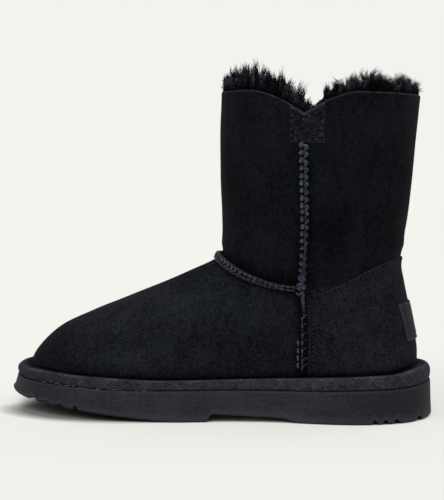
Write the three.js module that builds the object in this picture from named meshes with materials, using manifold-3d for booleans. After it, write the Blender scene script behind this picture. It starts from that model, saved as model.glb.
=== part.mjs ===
// A short sheepskin boot for the left foot: a tubular suede shaft on a rounded vamp, a foam sole
// with a suede-wrapped platform edge, raised seams, a heel counter and wool standing in the collar.
// Millimetres. +X points to the toe, +Y to the outer side of the foot, +Z up.

import * as THREE from "three";
import { mergeVertices } from "three/addons/utils/BufferGeometryUtils.js";
import Module from "manifold-3d";

const wasm = await Module();
wasm.setup();

// Main sizes of the boot.
const SOLE_LENGTH = 282;
const BALL_WIDTH = 98;
const COLLAR_WIDTH = 102;
const COLLAR_HEIGHT = 208;
const SOLE_HEIGHT = 31;
const TOE_SPRING = 10;
const TOE_SWING = 9;

// How far the platform edge stands out past the upper, and the outsole past the platform edge.
const OVERHANG = { side: 6.3, toe: 8.3, heel: 9.9 };
const FLARE = { side: 1.4, toe: 3.6, heel: 1.0 };

// Leather, foam and seams.
const SKIN = 2.6;
const GAP = 0.3;
const INSOLE_EDGE = 2.2;
const COUNTER_THICK = 1.2;
const PATCH_THICK = 1.1;
const PATCH = { ahead: 9, behind: 12.6, drop: 19 };
const LABEL = { width: 39, height: 23.8, thick: 1.0, centre: 61.8 };
const SIDE_SEAM = { width: 5.8, height: 2.4, lowHeight: 1.5 };
const INSTEP_SEAM = { width: 5.2, height: 3.6 };
const NOTCH = { depth: 13.7, reach: 34, curve: 1.6 };

// The heel counter's top edge: its heights above the floor at the seam and at the back, and the
// share of the way over which it climbs.
const COUNTER = { front: 80.5, back: 103, reach: 0.9 };

// Tread: the arch is cut out between two pads, and grooves run across the toe and the heel. Cuts
// start CUT_BELOW under the tread, so that they open it cleanly.
const ARCH = { heelShare: 0.29, toeShare: 0.503, heelRise: 2.8, toeRise: 4.8, heelRamp: 12, toeRamp: 4.5 };
const GROOVE = { width: 2.8, depth: 2.6 };
const TOE_GROOVES = { first: 0.7991, pitch: 0.0373, count: 4 };
const HEEL_GROOVES = { first: 0.0794, pitch: 0.0238, count: 3 };
const BACK_GROOVE = { first: 0.0293, pitch: 0, count: 1 };
const PAD_SLOT = { width: 4, depth: 2.2, inset: 17 };
const BALL_SLOTS = { first: 0.585, pitch: 0.045, count: 5 };
const HEEL_SLOTS = { first: 0.17, pitch: 0.04, count: 3 };
const TREAD_BEVEL = { side: 1.5, toe: 2, heel: 3.2, up: 2.2 };
const CUT_BELOW = 5;

// The platform's edge: how far its round edge turns in above and below, how much less it turns in
// below, and how far past the upper its flat top starts.
const PLATFORM_EDGE = { turn: 3.4, ease: 1.6, top: 0.4 };

// Wool in the collar: a ring below the rim, and locks that rise to these heights over the rim. The
// form's v runs over rate of the collar's height from the instep up.
const WOOL = {
  around: 36, rate: 0.55, deep: 30, thick: 8.5, frontRise: 17.5, backRise: 13.5, notchRise: 6.5, core: 0.5,
};
const LOCK = { radius: 3.2, lean: 3.2, stray: 2.2, rows: 2, around: 22, sunk: 2.5, sides: 4 };
const LOCK_SEED = 7;

// Mesh steps. AROUND is even, so that a ring's two sides pair up.
const AROUND = 48;
const SOLE_AROUND = 60;
const QUARTER = 0.25;

// Side view of the sole. along is the share of the sole's length from the heel; the heights are
// shares of SOLE_HEIGHT: wall is the outsole's top edge, top the platform's top.
const SOLE_LINE = [
  { along: 0, wall: 0.77, top: 1.11 },
  { along: 0.035, wall: 0.73, top: 1.074 },
  { along: 0.074, wall: 0.705, top: 1.0 },
  { along: 0.148, wall: 0.69, top: 0.968 },
  { along: 0.292, wall: 0.652, top: 0.906 },
  { along: 0.472, wall: 0.648, top: 0.852 },
  { along: 0.62, wall: 0.638, top: 0.839 },
  { along: 0.736, wall: 0.635, top: 0.868 },
  { along: 0.823, wall: 0.652, top: 0.882 },
  { along: 0.887, wall: 0.662, top: 0.902 },
  { along: 0.944, wall: 0.662, top: 0.892 },
  { along: 1, wall: 0.675, top: 0.902 },
];

// Plan of the foot. along is the share of the upper's length from the heel; outer and inner are
// the half widths either side of the foot's axis, as shares of half the ball width.
const PLAN = [
  { along: 0.0, outer: 0.76, inner: 0.76 },
  { along: 0.15, outer: 0.745, inner: 0.74 },
  { along: 0.33, outer: 0.71, inner: 0.64 },
  { along: 0.48, outer: 0.81, inner: 0.72 },
  { along: 0.62, outer: 0.955, inner: 0.9 },
  { along: 0.73, outer: 1.0, inner: 1.0 },
  { along: 0.86, outer: 0.965, inner: 1.0 },
  { along: 1.0, outer: 0.94, inner: 0.96 },
];

// Rings of the upper, from the sole to the collar. front, back and seam are where the ring
// crosses the toe line, the heel line and the side seam, as shares of the upper's length from
// the heel. frontUp, backUp and sag are shares of COLLAR_HEIGHT: the ring's height at its two
// ends, above the share (follow) of the sole's own line, and its dip at the sides. wide is a
// share of the ball or collar width, and foot says which. toe and heel square the ends off.
const RINGS = [
  { v: 0.0, front: 1.0, back: 0.0, frontUp: 0, backUp: 0, follow: 1.0, sag: 0.0,
    seam: 0.2715, wide: 0.94, foot: 1.0, toe: 0.62, heel: 0.8 },
  { v: 0.045, front: 0.9788, back: 0.0008, frontUp: 0.0444, backUp: 0.0526, follow: 1.0, sag: 0.004,
    seam: 0.2715, wide: 0.995, foot: 1.0, toe: 0.62, heel: 0.8 },
  { v: 0.11, front: 0.9205, back: 0.0123, frontUp: 0.1409, backUp: 0.1637, follow: 0.8, sag: 0.016,
    seam: 0.2715, wide: 0.985, foot: 0.95, toe: 0.5, heel: 0.75 },
  { v: 0.19, front: 0.8299, back: 0.0235, frontUp: 0.2262, backUp: 0.2639, follow: 0.6, sag: 0.036,
    seam: 0.272, wide: 0.93, foot: 0.8, toe: 0.32, heel: 0.65 },
  { v: 0.28, front: 0.7064, back: 0.0343, frontUp: 0.3183, backUp: 0.3558, follow: 0.4, sag: 0.058,
    seam: 0.273, wide: 0.85, foot: 0.5, toe: 0.18, heel: 0.5 },
  { v: 0.36, front: 0.5829, back: 0.0413, frontUp: 0.4095, backUp: 0.4366, follow: 0.2, sag: 0.079,
    seam: 0.275, wide: 0.785, foot: 0.2, toe: 0.12, heel: 0.35 },
  { v: 0.42, front: 0.4934, back: 0.0367, frontUp: 0.4894, backUp: 0.5048, follow: 0, sag: 0.0905,
    seam: 0.275, wide: 0.76, foot: 0, toe: 0.12, heel: 0.22 },
  { v: 0.48, front: 0.4869, back: 0.0297, frontUp: 0.5385, backUp: 0.5433, follow: 0, sag: 0.073,
    seam: 0.2715, wide: 0.8, foot: 0, toe: 0.15, heel: 0.15 },
  { v: 0.55, front: 0.4865, back: 0.0224, frontUp: 0.6106, backUp: 0.6106, follow: 0, sag: 0.049,
    seam: 0.267, wide: 0.85, foot: 0, toe: 0.15, heel: 0.15 },
  { v: 0.72, front: 0.4908, back: 0.0116, frontUp: 0.7524, backUp: 0.75, follow: 0, sag: 0.018,
    seam: 0.267, wide: 0.94, foot: 0, toe: 0.15, heel: 0.15 },
  { v: 0.87, front: 0.4904, back: 0.0023, frontUp: 0.887, backUp: 0.8822, follow: 0, sag: 0.005,
    seam: 0.268, wide: 0.98, foot: 0, toe: 0.15, heel: 0.15 },
  { v: 1.0, front: 0.4873, back: -0.0054, frontUp: 1.0, backUp: 0.9856, follow: 0, sag: 0.0,
    seam: 0.267, wide: 1.0, foot: 0, toe: 0.15, heel: 0.15 },
];
const INSTEP_V = 0.42;
const INSOLE_V = 0.03;
const NOTCH_FROM_V = 0.6;

// Heights of the upper's rows: close together around the bend over the instep.
const OUTER_ROWS = [0, 0.025, 0.05, 0.08, 0.12, 0.165, 0.215, 0.27, 0.32, 0.365, 0.4, 0.42, 0.44,
  0.47, 0.52, 0.6, 0.7, 0.8, 0.9, 1];
const INNER_ROWS = [1, 0.85, 0.7, 0.58, 0.5, 0.45, 0.42, 0.39, 0.32, 0.24, 0.17, 0.11, 0.06,
  INSOLE_V, 0];

// The upper's two ends at the sole, and where the foot's axis starts to swing to the inner side.
const TOE_END = SOLE_LENGTH / 2 - OVERHANG.toe - FLARE.toe;
const HEEL_END = -SOLE_LENGTH / 2 + OVERHANG.heel + FLARE.heel;
const UPPER_LENGTH = TOE_END - HEEL_END;
const SWING_FROM = 0.5;

const onUpper = (share) => HEEL_END + share * UPPER_LENGTH;
const onSole = (share) => (share - 0.5) * SOLE_LENGTH;
const lerp = (a, b, t) => a + (b - a) * t;
const clamp = (x, low, high) => Math.min(Math.max(x, low), high);
const smooth = (t) => clamp(t, 0, 1) ** 2 * (3 - 2 * clamp(t, 0, 1));

// A smooth curve through one column of a table, held level past its ends.
function column(table, key, name, at) {
  const x = clamp(at, table[0][key], table[table.length - 1][key]);
  let i = 0;
  while (i < table.length - 2 && x > table[i + 1][key]) i++;
  const slope = (k) => (table[k + 1][name] - table[k][name]) / (table[k + 1][key] - table[k][key]);
  const tangent = (k) => {
    if (k === 0) return slope(0);
    if (k === table.length - 1) return slope(k - 1);
    const before = table[k][key] - table[k - 1][key];
    const after = table[k + 1][key] - table[k][key];
    return (slope(k - 1) * after + slope(k) * before) / (before + after);
  };
  const span = table[i + 1][key] - table[i][key];
  const t = (x - table[i][key]) / span;
  const [a, b] = [table[i][name], table[i + 1][name]];
  const [m, n] = [tangent(i) * span, tangent(i + 1) * span];
  return a + m * t + (3 * (b - a) - 2 * m - n) * t ** 2 + (2 * (a - b) + m + n) * t ** 3;
}

const soleTop = (x) => SOLE_HEIGHT * column(SOLE_LINE, "along", "top", x / SOLE_LENGTH + 0.5);
const soleWall = (x) => SOLE_HEIGHT * column(SOLE_LINE, "along", "wall", x / SOLE_LENGTH + 0.5);

// The tread rises towards the toe from a flat ball pad.
const SPRING_FROM = onSole(0.565);
const SPRING_POWER = 1.03;
function tread(x) {
  const past = clamp((x - SPRING_FROM) / (SOLE_LENGTH / 2 - SPRING_FROM), 0, 1);
  return TOE_SPRING * past ** SPRING_POWER;
}

// The foot's axis, which swings to the inner side of the foot over the forefoot.
function axis(x) {
  const past = Math.max((x - onUpper(SWING_FROM)) / (UPPER_LENGTH * (1 - SWING_FROM)), 0);
  return -TOE_SWING * past ** 2;
}

// The collar's dip over the side seam: a shallow V with round shoulders.
function notchDrop(fromSeam) {
  const t = Math.min(Math.abs(fromSeam) / NOTCH.reach, 1);
  return NOTCH.depth * (1 - t) ** NOTCH.curve;
}

// A point of the upper's outer face. u runs once round from the toe line over the outer side;
// v runs from the sole to the collar.
function skinPoint(u, v) {
  const get = (name) => column(RINGS, "v", name, v);
  const angle = 2 * Math.PI * u;
  const [front, back, seam] = [onUpper(get("front")), onUpper(get("back")), onUpper(get("seam"))];
  const [centre, half] = [(front + back) / 2, (front - back) / 2];
  const skew = (seam - centre) / half;
  const [c, s] = [Math.cos(angle), Math.sin(angle)];
  const share = c + skew * s * s;
  const x = centre + half * share;
  const round = s * Math.sqrt(Math.max(1 - 2 * skew * c - (skew * s) ** 2, 0));
  const square = 1 + get(share > 0 ? "toe" : "heel") * share ** 2;
  const plan = column(PLAN, "along", s >= 0 ? "outer" : "inner", (x - HEEL_END) / UPPER_LENGTH);
  const foot = get("foot");
  const halfWidth = get("wide") * (foot * plan * BALL_WIDTH + (1 - foot) * COLLAR_WIDTH) / 2;
  const dip = get("sag") * (1 - share ** 2);
  const up = lerp(get("backUp"), get("frontUp"), (1 + share) / 2) - dip;
  const notch = smooth((v - NOTCH_FROM_V) / (1 - NOTCH_FROM_V)) * notchDrop(x - seam);
  const z = GAP * (1 - v) + get("follow") * soleTop(x) + COLLAR_HEIGHT * up - notch;
  return new THREE.Vector3(x, axis(x) + halfWidth * round * square, z);
}

// The outward direction of the upper's face, by small differences.
function skinNormal(u, v) {
  const [du, dv] = [1e-3, 1e-3];
  const [low, high] = [Math.max(v - dv, 0), Math.min(v + dv, 1)];
  const alongU = skinPoint(u + du, v).sub(skinPoint(u - du, v));
  const alongV = skinPoint(u, high).sub(skinPoint(u, low));
  return alongU.cross(alongV).normalize();
}

// A point over (lift above 0) or under the upper's outer face. The lowest row stays level with
// the platform.
function skin(u, v, lift) {
  const p = skinPoint(u, v).addScaledVector(skinNormal(u, v), lift);
  if (v === 0) p.z = soleTop(p.x) + GAP;
  return p;
}

// The height up the upper (v) at which it crosses heightAt(x), a line in the side view.
function rowAt(u, heightAt) {
  let [low, high] = [0, 1];
  for (let step = 0; step < 40; step++) {
    const middle = (low + high) / 2;
    const p = skinPoint(u, middle);
    if (p.z < heightAt(p.x)) low = middle;
    else high = middle;
  }
  return (low + high) / 2;
}

// The turn (u) on one side at which the upper is a given length round from a seam or the heel.
function turnBy(u, v, length) {
  const step = Math.sign(length) * 5e-4;
  let [at, gone] = [u, 0];
  let last = skinPoint(at, v);
  while (gone < Math.abs(length)) {
    at += step;
    const next = skinPoint(at, v);
    gone += next.distanceTo(last);
    last = next;
  }
  return at;
}

// The turn at which the upper is a short length round from a seam, at one height.
function beside(seamTurn, v, length) {
  const step = 1e-3;
  const rate = skinPoint(seamTurn + step, v).distanceTo(skinPoint(seamTurn, v)) / step;
  return seamTurn + length / rate;
}

// A closed mesh as a solid.
function solidOf(points, triangles) {
  const vertProperties = new Float32Array(points.flatMap((p) => [p.x, p.y, p.z]));
  const triVerts = new Uint32Array(triangles.flat());
  return new wasm.Manifold(new wasm.Mesh({ numProp: 3, vertProperties, triVerts }));
}

// A three.js geometry as a solid.
function solidOfGeometry(geometry) {
  geometry.deleteAttribute("normal");
  geometry.deleteAttribute("uv");
  const merged = mergeVertices(geometry, 1e-4);
  const vertProperties = new Float32Array(merged.attributes.position.array);
  const triVerts = new Uint32Array(merged.index.array);
  return new wasm.Manifold(new wasm.Mesh({ numProp: 3, vertProperties, triVerts }));
}

// Two triangles for each cell between columns of points. Both ways may wrap round.
function cells(columns, rows, wrapColumns, wrapRows) {
  const triangles = [];
  const id = (i, j) => (i % columns) * rows + (j % rows);
  for (let i = 0; i < columns - (wrapColumns ? 0 : 1); i++)
    for (let j = 0; j < rows - (wrapRows ? 0 : 1); j++) {
      triangles.push([id(i, j), id(i + 1, j), id(i + 1, j + 1)]);
      triangles.push([id(i, j), id(i + 1, j + 1), id(i, j + 1)]);
    }
  return triangles;
}

// A hollow ring: a closed section, given for each turn u, carried once round the boot.
function hoop(sectionAt, around = AROUND) {
  const columns = Array.from({ length: around }, (_, i) => sectionAt(i / around));
  return solidOf(columns.flat(), cells(around, columns[0].length, true, true));
}

// A bar: closed sections in order, with flat fans closing its two ends.
function bar(sections) {
  const rows = sections[0].length;
  const last = (sections.length - 1) * rows;
  const triangles = cells(sections.length, rows, false, true);
  for (let j = 1; j < rows - 1; j++) {
    triangles.push([0, j, j + 1]);
    triangles.push([last, last + j + 1, last + j]);
  }
  return solidOf(sections.flat(), triangles);
}

// Rows from low to high: evenly, or on the upper's own rows as far as a crest and then evenly.
const evenly = (low, high, rows) => Array.from({ length: rows + 1 }, (_, j) => lerp(low, high, j / rows));
const COUNTER_CREST = 0.28;
const CRESTED = OUTER_ROWS.filter((v) => v > 0.015 && v < COUNTER_CREST);
const crested = (low, high, rows) =>
  [low, ...CRESTED, ...evenly(COUNTER_CREST, high, rows - CRESTED.length - 1)];

// A panel on the upper between two side edges, given as turns at each height. Its columns lie on
// the upper's own, or between them too (fine above 1). Each runs from a low to a high row in
// steps, and the panel is thick from one lift to another.
function panel({ from, to, low, high, under, over, rows, fine = 1, steps = evenly }) {
  const [first, last] = [from(INSTEP_V), to(INSTEP_V)].map((u) => u * AROUND * fine);
  const count = Math.floor(last - 0.3) - Math.ceil(first + 0.3) + 1;
  const inner = Array.from({ length: count }, (_, i) => (Math.ceil(first + 0.3) + i) / AROUND / fine);
  const turns = [from, ...inner.map((u) => () => u), to];
  const sections = turns.map((turn) => {
    const [bottom, top] = [low(turn(INSTEP_V)), high(turn(INSTEP_V))];
    const heights = steps(bottom, top, rows);
    const v = (j) => heights[j];
    const at = (j, lift) => skin(turn(v(j)), v(j), lift);
    const outer = Array.from({ length: rows + 1 }, (_, j) => at(j, over));
    const inner = Array.from({ length: rows + 1 }, (_, j) => at(rows - j, under));
    return [...outer, ...inner];
  });
  const loop = sections[0].length;
  const end = (sections.length - 1) * loop;
  const triangles = cells(sections.length, loop, false, true);
  for (let j = 0; j < rows; j++) {
    const [a, b, c, d] = [j, j + 1, loop - 2 - j, loop - 1 - j];
    triangles.push([a, b, c], [a, c, d]);
    triangles.push([end + a, end + c, end + b], [end + a, end + d, end + c]);
  }
  return solidOf(sections.flat(), triangles);
}

// A raised seam on the upper: a round-backed bar that follows the leather along route(t), which
// gives [u, v]. It runs round the boot, or up it.
function raisedSeam(route, runsUp, width, heightAt, steps) {
  const archPoints = 6;
  const sections = Array.from({ length: steps + 1 }, (_, i) => {
    const [u, v] = route(i / steps);
    const step = 1e-3;
    const beside = runsUp ? skinPoint(u + step, v) : skinPoint(u, v + step);
    const rate = beside.distanceTo(skinPoint(u, v)) / step;
    const height = heightAt(i / steps);
    return Array.from({ length: archPoints + 1 }, (_, j) => {
      const turn = (Math.PI * j) / archPoints;
      const by = (Math.cos(turn) * width) / 2 / rate;
      const lift = GAP + Math.sin(turn) * height + GAP * Math.abs(Math.cos(turn));
      return runsUp ? skin(u + by, v, lift) : skin(u, v - by, lift);
    });
  });
  return bar(sections);
}

// The outline of the upper at the sole, moved out by an overhang that differs at the two ends.
function outline(overhang, heightAt, around = SOLE_AROUND) {
  return Array.from({ length: around }, (_, i) => {
    const u = i / around;
    const ahead = skinPoint(u + 1e-3, 0).sub(skinPoint(u - 1e-3, 0)).normalize();
    const out = new THREE.Vector2(ahead.y, -ahead.x).normalize();
    const end = out.x > 0 ? overhang.toe : overhang.heel;
    const by = lerp(overhang.side, end, out.x ** 2);
    const p = skinPoint(u, 0);
    const x = p.x + out.x * by;
    return new THREE.Vector3(x, p.y + out.y * by, heightAt(x));
  });
}

// A plate: outlines from the bottom up, closed below and above by strips from side to side.
function plate(outlines) {
  const around = outlines[0].length;
  const levels = outlines.length;
  const points = Array.from({ length: around }, (_, i) => outlines.map((ring) => ring[i])).flat();
  const triangles = cells(around, levels, true, false);
  const id = (i, level) => (i % around) * levels + level;
  for (let i = 0; i < around / 2; i++) {
    const [a, b] = [i, i + 1];
    const [c, d] = [around - a, around - b];
    for (const level of [0, levels - 1]) {
      const flip = level === 0;
      const corners = [id(a, level), id(b, level), id(d, level), id(c, level)];
      const faces = [[0, 1, 2], [0, 2, 3]].map((face) => face.map((k) => corners[k]));
      for (const face of faces)
        if (new Set(face).size === 3) triangles.push(flip ? face.reverse() : face);
    }
  }
  return solidOf(points, triangles);
}

const plus = (a, b) => ({ side: a.side + b.side, toe: a.toe + b.toe, heel: a.heel + b.heel });
const times = (a, by) => ({ side: a.side * by, toe: a.toe * by, heel: a.heel * by });
const grown = (a, by) => ({ side: a.side + by, toe: a.toe + by, heel: a.heel + by });

// A prism that runs across the sole, from its outline in the side view.
function prismAcross(corners, halfWidth, middle = 0) {
  const shape = new THREE.Shape(corners.map(([x, z]) => new THREE.Vector2(x, z)));
  const geometry = new THREE.ExtrudeGeometry(shape, { depth: 2 * halfWidth, bevelEnabled: false });
  geometry.rotateX(Math.PI / 2);
  geometry.translate(0, middle + halfWidth, 0);
  return solidOfGeometry(geometry);
}

// A groove with a round bottom, cut up into the tread at x.
function groove(x, width, depth, halfWidth, middle = 0) {
  const floor = tread(x);
  const below = floor - CUT_BELOW;
  const steps = 6;
  const dome = Array.from({ length: steps + 1 }, (_, i) => {
    const turn = (Math.PI * i) / steps;
    return [x + (Math.cos(turn) * width) / 2, floor + depth - width / 2 + (Math.sin(turn) * width) / 2];
  });
  return prismAcross([[x - width / 2, below], [x + width / 2, below], ...dome], halfWidth, middle);
}

// The foam outsole: toe spring, flared wall, arch and cross grooves.
function outsole() {
  const foot = plus(OVERHANG, FLARE);
  const bevelled = (share) => plus(foot, times(TREAD_BEVEL, -share));
  const wallAt = (share) => (x) => lerp(tread(x), soleWall(x), share);
  let solid = plate([
    outline(bevelled(1), tread),
    outline(bevelled(0.3), (x) => tread(x) + 0.3 * TREAD_BEVEL.up),
    outline(foot, (x) => tread(x) + TREAD_BEVEL.up),
    outline(plus(OVERHANG, { side: 0.55 * FLARE.side, toe: 0.5 * FLARE.toe, heel: 0.8 * FLARE.heel }),
      wallAt(0.55)),
    outline(OVERHANG, wallAt(0.94)),
    outline(grown(OVERHANG, -1.1), wallAt(1)),
  ]);
  const cuts = [];
  const { heelShare, toeShare, heelRise, toeRise, heelRamp, toeRamp } = ARCH;
  const [archBack, archFront] = [onSole(heelShare), onSole(toeShare)];
  cuts.push(prismAcross([
    [archBack - heelRamp / 4, -CUT_BELOW], [archFront + toeRamp / 4, -CUT_BELOW], [archFront, 0],
    [archFront - toeRamp, toeRise], [archBack + heelRamp, heelRise], [archBack, 0],
  ], BALL_WIDTH));
  for (const row of [TOE_GROOVES, HEEL_GROOVES, BACK_GROOVE])
    for (let k = 0; k < row.count; k++)
      cuts.push(groove(onSole(row.first + k * row.pitch), GROOVE.width, GROOVE.depth, BALL_WIDTH));
  for (const [row, plan] of [[BALL_SLOTS, 1], [HEEL_SLOTS, 0.76]])
    for (let k = 0; k < row.count; k++) {
      const x = onSole(row.first + k * row.pitch);
      const half = (BALL_WIDTH / 2) * plan + OVERHANG.side - PAD_SLOT.inset;
      cuts.push(groove(x, PAD_SLOT.width, PAD_SLOT.depth, half, axis(x)));
    }
  return cuts.reduce((left, cut) => left.subtract(cut), solid);
}

// The platform under the upper, with its round suede-wrapped edge.
function platform() {
  const steps = 6;
  const rings = Array.from({ length: steps + 1 }, (_, k) => {
    const turn = Math.PI * (k / steps - 0.5);
    const by = -PLATFORM_EDGE.turn * (1 - Math.cos(turn)) + (k === 0 ? PLATFORM_EDGE.ease : 0);
    const share = (1 + Math.sin(turn)) / 2;
    return outline(grown(OVERHANG, by), (x) => lerp(soleWall(x) + GAP, soleTop(x), share));
  });
  const { top } = PLATFORM_EDGE;
  return plate([...rings, outline({ side: top, toe: top, heel: top }, soleTop)]);
}

// The insole: its edge follows the inside of the upper, and its top edge is rounded.
function insole() {
  const ring = (v, inwards, rise) => Array.from({ length: AROUND }, (_, i) => {
    const p = skin(i / AROUND, v, -SKIN - GAP - inwards);
    p.z += rise;
    return p;
  });
  return plate([
    ring(0, 0.5 * GAP, 0),
    ring(INSOLE_V, 0.5 * GAP, 0),
    ring(INSOLE_V, 0.9 * INSOLE_EDGE, 0.6 * INSOLE_EDGE),
    ring(INSOLE_V, 2.2 * INSOLE_EDGE, INSOLE_EDGE),
  ]);
}

// The upper: one wall of leather, open at the collar and underneath.
function upper() {
  return hoop((u) => [
    ...OUTER_ROWS.map((v) => skin(u, v, 0)),
    ...INNER_ROWS.map((v) => skin(u, v, -SKIN)),
  ]);
}

// The counter's top edge in the side view.
function counterTop(x) {
  const [front, back] = [onUpper(RINGS[0].seam), HEEL_END];
  const t = clamp((front - x) / (front - back), 0, 1);
  return lerp(COUNTER.front, COUNTER.back, smooth(t / COUNTER.reach));
}

// The heel counter wraps the heel from one side seam to the other.
function counter() {
  const clear = SIDE_SEAM.width / 2 + 3 * GAP;
  return panel({
    from: (v) => beside(QUARTER, v, clear),
    to: (v) => beside(1 - QUARTER, v, -clear),
    low: () => 0.012,
    high: (u) => rowAt(u, counterTop),
    under: 1.5 * GAP,
    over: 1.5 * GAP + COUNTER_THICK,
    rows: CRESTED.length + 3,
    steps: crested,
  });
}

// The label at the back of the heel, bare, on the counter.
function label() {
  const middle = rowAt(0.5, () => LABEL.centre);
  const [u0, u1] = [-1, 1].map((side) => turnBy(0.5, middle, (side * LABEL.width) / 2));
  const under = 2.5 * GAP + COUNTER_THICK;
  return panel({
    from: () => u0,
    to: () => u1,
    low: (u) => rowAt(u, () => LABEL.centre - LABEL.height / 2),
    high: (u) => rowAt(u, () => LABEL.centre + LABEL.height / 2),
    under,
    over: under + LABEL.thick,
    rows: 2,
    fine: 2,
  });
}

// The height of a patch's bottom edge: a fixed drop below the collar's notch.
const patchBottom = () => COLLAR_HEIGHT - NOTCH.depth - PATCH.drop;

// The patch under the collar's notch, on the outer or the inner side.
function patch(seamTurn) {
  const heelwards = seamTurn < 0.5 ? 1 : -1;
  const edges = [-PATCH.ahead, PATCH.behind].map((by) => turnBy(seamTurn, 0.95, by * heelwards));
  const [u0, u1] = edges.sort((a, b) => a - b);
  return panel({
    from: () => u0,
    to: () => u1,
    low: (u) => rowAt(u, patchBottom),
    high: () => 1,
    under: GAP,
    over: GAP + PATCH_THICK,
    rows: 4,
    fine: 2,
  });
}

// The raised seam up one side, from the platform to the patch. It is lower beside the counter.
function sideSeam(seamTurn) {
  const corner = beside(seamTurn, 0.85, SIDE_SEAM.width / 2);
  const top = rowAt(corner, () => patchBottom() - 2 * GAP);
  const route = (t) => [seamTurn, lerp(0.012, top, t)];
  const crossing = INSTEP_V / top;
  const heightAt = (t) => lerp(SIDE_SEAM.lowHeight, SIDE_SEAM.height, smooth((t - crossing + 0.1) / 0.1));
  return raisedSeam(route, true, SIDE_SEAM.width, heightAt, 20);
}

// The raised seam over the instep, from one side seam to the other.
function instepSeam() {
  const start = turnBy(-QUARTER, INSTEP_V, SIDE_SEAM.width / 2 + 2 * GAP);
  const end = turnBy(QUARTER, INSTEP_V, -SIDE_SEAM.width / 2 - 2 * GAP);
  const heightAt = (t) => INSTEP_SEAM.height * lerp(0.7, 1, smooth(4 * Math.min(t, 1 - t)));
  const route = (t) => [lerp(start, end, t), INSTEP_V];
  return raisedSeam(route, false, INSTEP_SEAM.width, heightAt, 32);
}

// How far the wool rises over the rim: two humps, front and back, with a dip at each notch.
function woolRise(u) {
  const [c, s] = [Math.cos(2 * Math.PI * u), Math.sin(2 * Math.PI * u)];
  const hump = c > 0 ? WOOL.frontRise : WOOL.backRise;
  return lerp(hump, WOOL.notchRise, smooth((Math.abs(s) - 0.9) / 0.1));
}

// A repeatable stream of numbers from 0 to 1.
function stream(seed) {
  let state = seed >>> 0;
  return () => {
    state = (Math.imul(state, 1664525) + 1013904223) >>> 0;
    return state / 2 ** 32;
  };
}

// A lock of wool: a bent taper that ends in a point.
function lock(root, tip, radius, bend) {
  const along = tip.clone().sub(root);
  const side = new THREE.Vector3(along.y, -along.x, 0).normalize();
  const other = along.clone().normalize().cross(side);
  const ringAt = (share, size) => Array.from({ length: LOCK.sides }, (_, k) => {
    const turn = (2 * Math.PI * k) / LOCK.sides;
    return root.clone().addScaledVector(along, share).addScaledVector(bend, Math.sin(Math.PI * share))
      .addScaledVector(side, Math.cos(turn) * size * radius)
      .addScaledVector(other, Math.sin(turn) * size * radius);
  });
  const rings = [ringAt(0, 1), ringAt(0.55, 0.85), ringAt(0.93, 0.28)];
  return bar(rings.map((ring) => ring.slice().reverse()));
}

// The wool in the collar: a soft ring against the leather with rows of locks fused on.
function wool() {
  const near = -SKIN - 2.5 * GAP;
  const far = near - WOOL.thick;
  const lowRow = 1 - WOOL.deep / (COLLAR_HEIGHT * WOOL.rate);
  const above = (u, lift, rise) => skin(u, 1, lift).add(new THREE.Vector3(0, 0, rise));
  let solid = hoop((u) => {
    const rise = WOOL.core * woolRise(u);
    return [
      skin(u, lowRow, near), skin(u, lerp(lowRow, 1, 0.5), near), above(u, near, 0),
      above(u, near, 0.6 * rise), above(u, lerp(near, far, 0.3), rise),
      above(u, lerp(near, far, 0.75), 0.9 * rise), above(u, far, 0.3 * rise),
      skin(u, lerp(lowRow, 1, 0.5), far), skin(u, lowRow, lerp(near, far, 0.6)),
    ];
  }, WOOL.around);
  const next = stream(LOCK_SEED);
  for (let row = 0; row < LOCK.rows; row++)
    for (let k = 0; k < LOCK.around; k++) {
      const u = (k + 0.5 * row + 0.3 * (next() - 0.5)) / LOCK.around;
      const lift = lerp(near, far, row === 0 ? 0.47 : 0.75);
      const rise = woolRise(u) * lerp(0.82, 1, next());
      const root = above(u, lift, WOOL.core * woolRise(u) - LOCK.sunk);
      const out = skinNormal(u, 1);
      const round = new THREE.Vector3(-out.y, out.x, 0);
      const tip = above(u, lift, rise)
        .addScaledVector(out, LOCK.lean * (0.7 - row) * next())
        .addScaledVector(round, LOCK.stray * (2 * next() - 1));
      const bend = round.clone().multiplyScalar(LOCK.stray * (next() - 0.5));
      solid = solid.add(lock(root, tip, LOCK.radius * lerp(0.8, 1.1, next()), bend));
    }
  return solid;
}

// Finishes.
const suede = new THREE.MeshStandardMaterial({ color: 0x15161a, roughness: 0.95 });
const counterSuede = new THREE.MeshStandardMaterial({ color: 0x1a1a1e, roughness: 0.95 });
const edgeSuede = new THREE.MeshStandardMaterial({ color: 0x2b2b31, roughness: 0.9 });
const foam = new THREE.MeshStandardMaterial({ color: 0x26272c, roughness: 0.8 });
const labelRubber = new THREE.MeshStandardMaterial({ color: 0x24242a, roughness: 0.6 });
const fleece = new THREE.MeshStandardMaterial({ color: 0x121216, roughness: 1.0 });
const thread = new THREE.MeshStandardMaterial({ color: 0x373b48, roughness: 0.85 });

const boot = new THREE.Group();

// Adds a solid to the boot as a named mesh.
function add(name, solid, material) {
  const { numProp, vertProperties, triVerts } = solid.getMesh();
  const geometry = new THREE.BufferGeometry();
  geometry.setAttribute("position", new THREE.BufferAttribute(vertProperties, numProp));
  geometry.setIndex(new THREE.BufferAttribute(triVerts, 1));
  geometry.computeVertexNormals();
  const mesh = new THREE.Mesh(geometry, material);
  mesh.name = name;
  boot.add(mesh);
}

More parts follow.
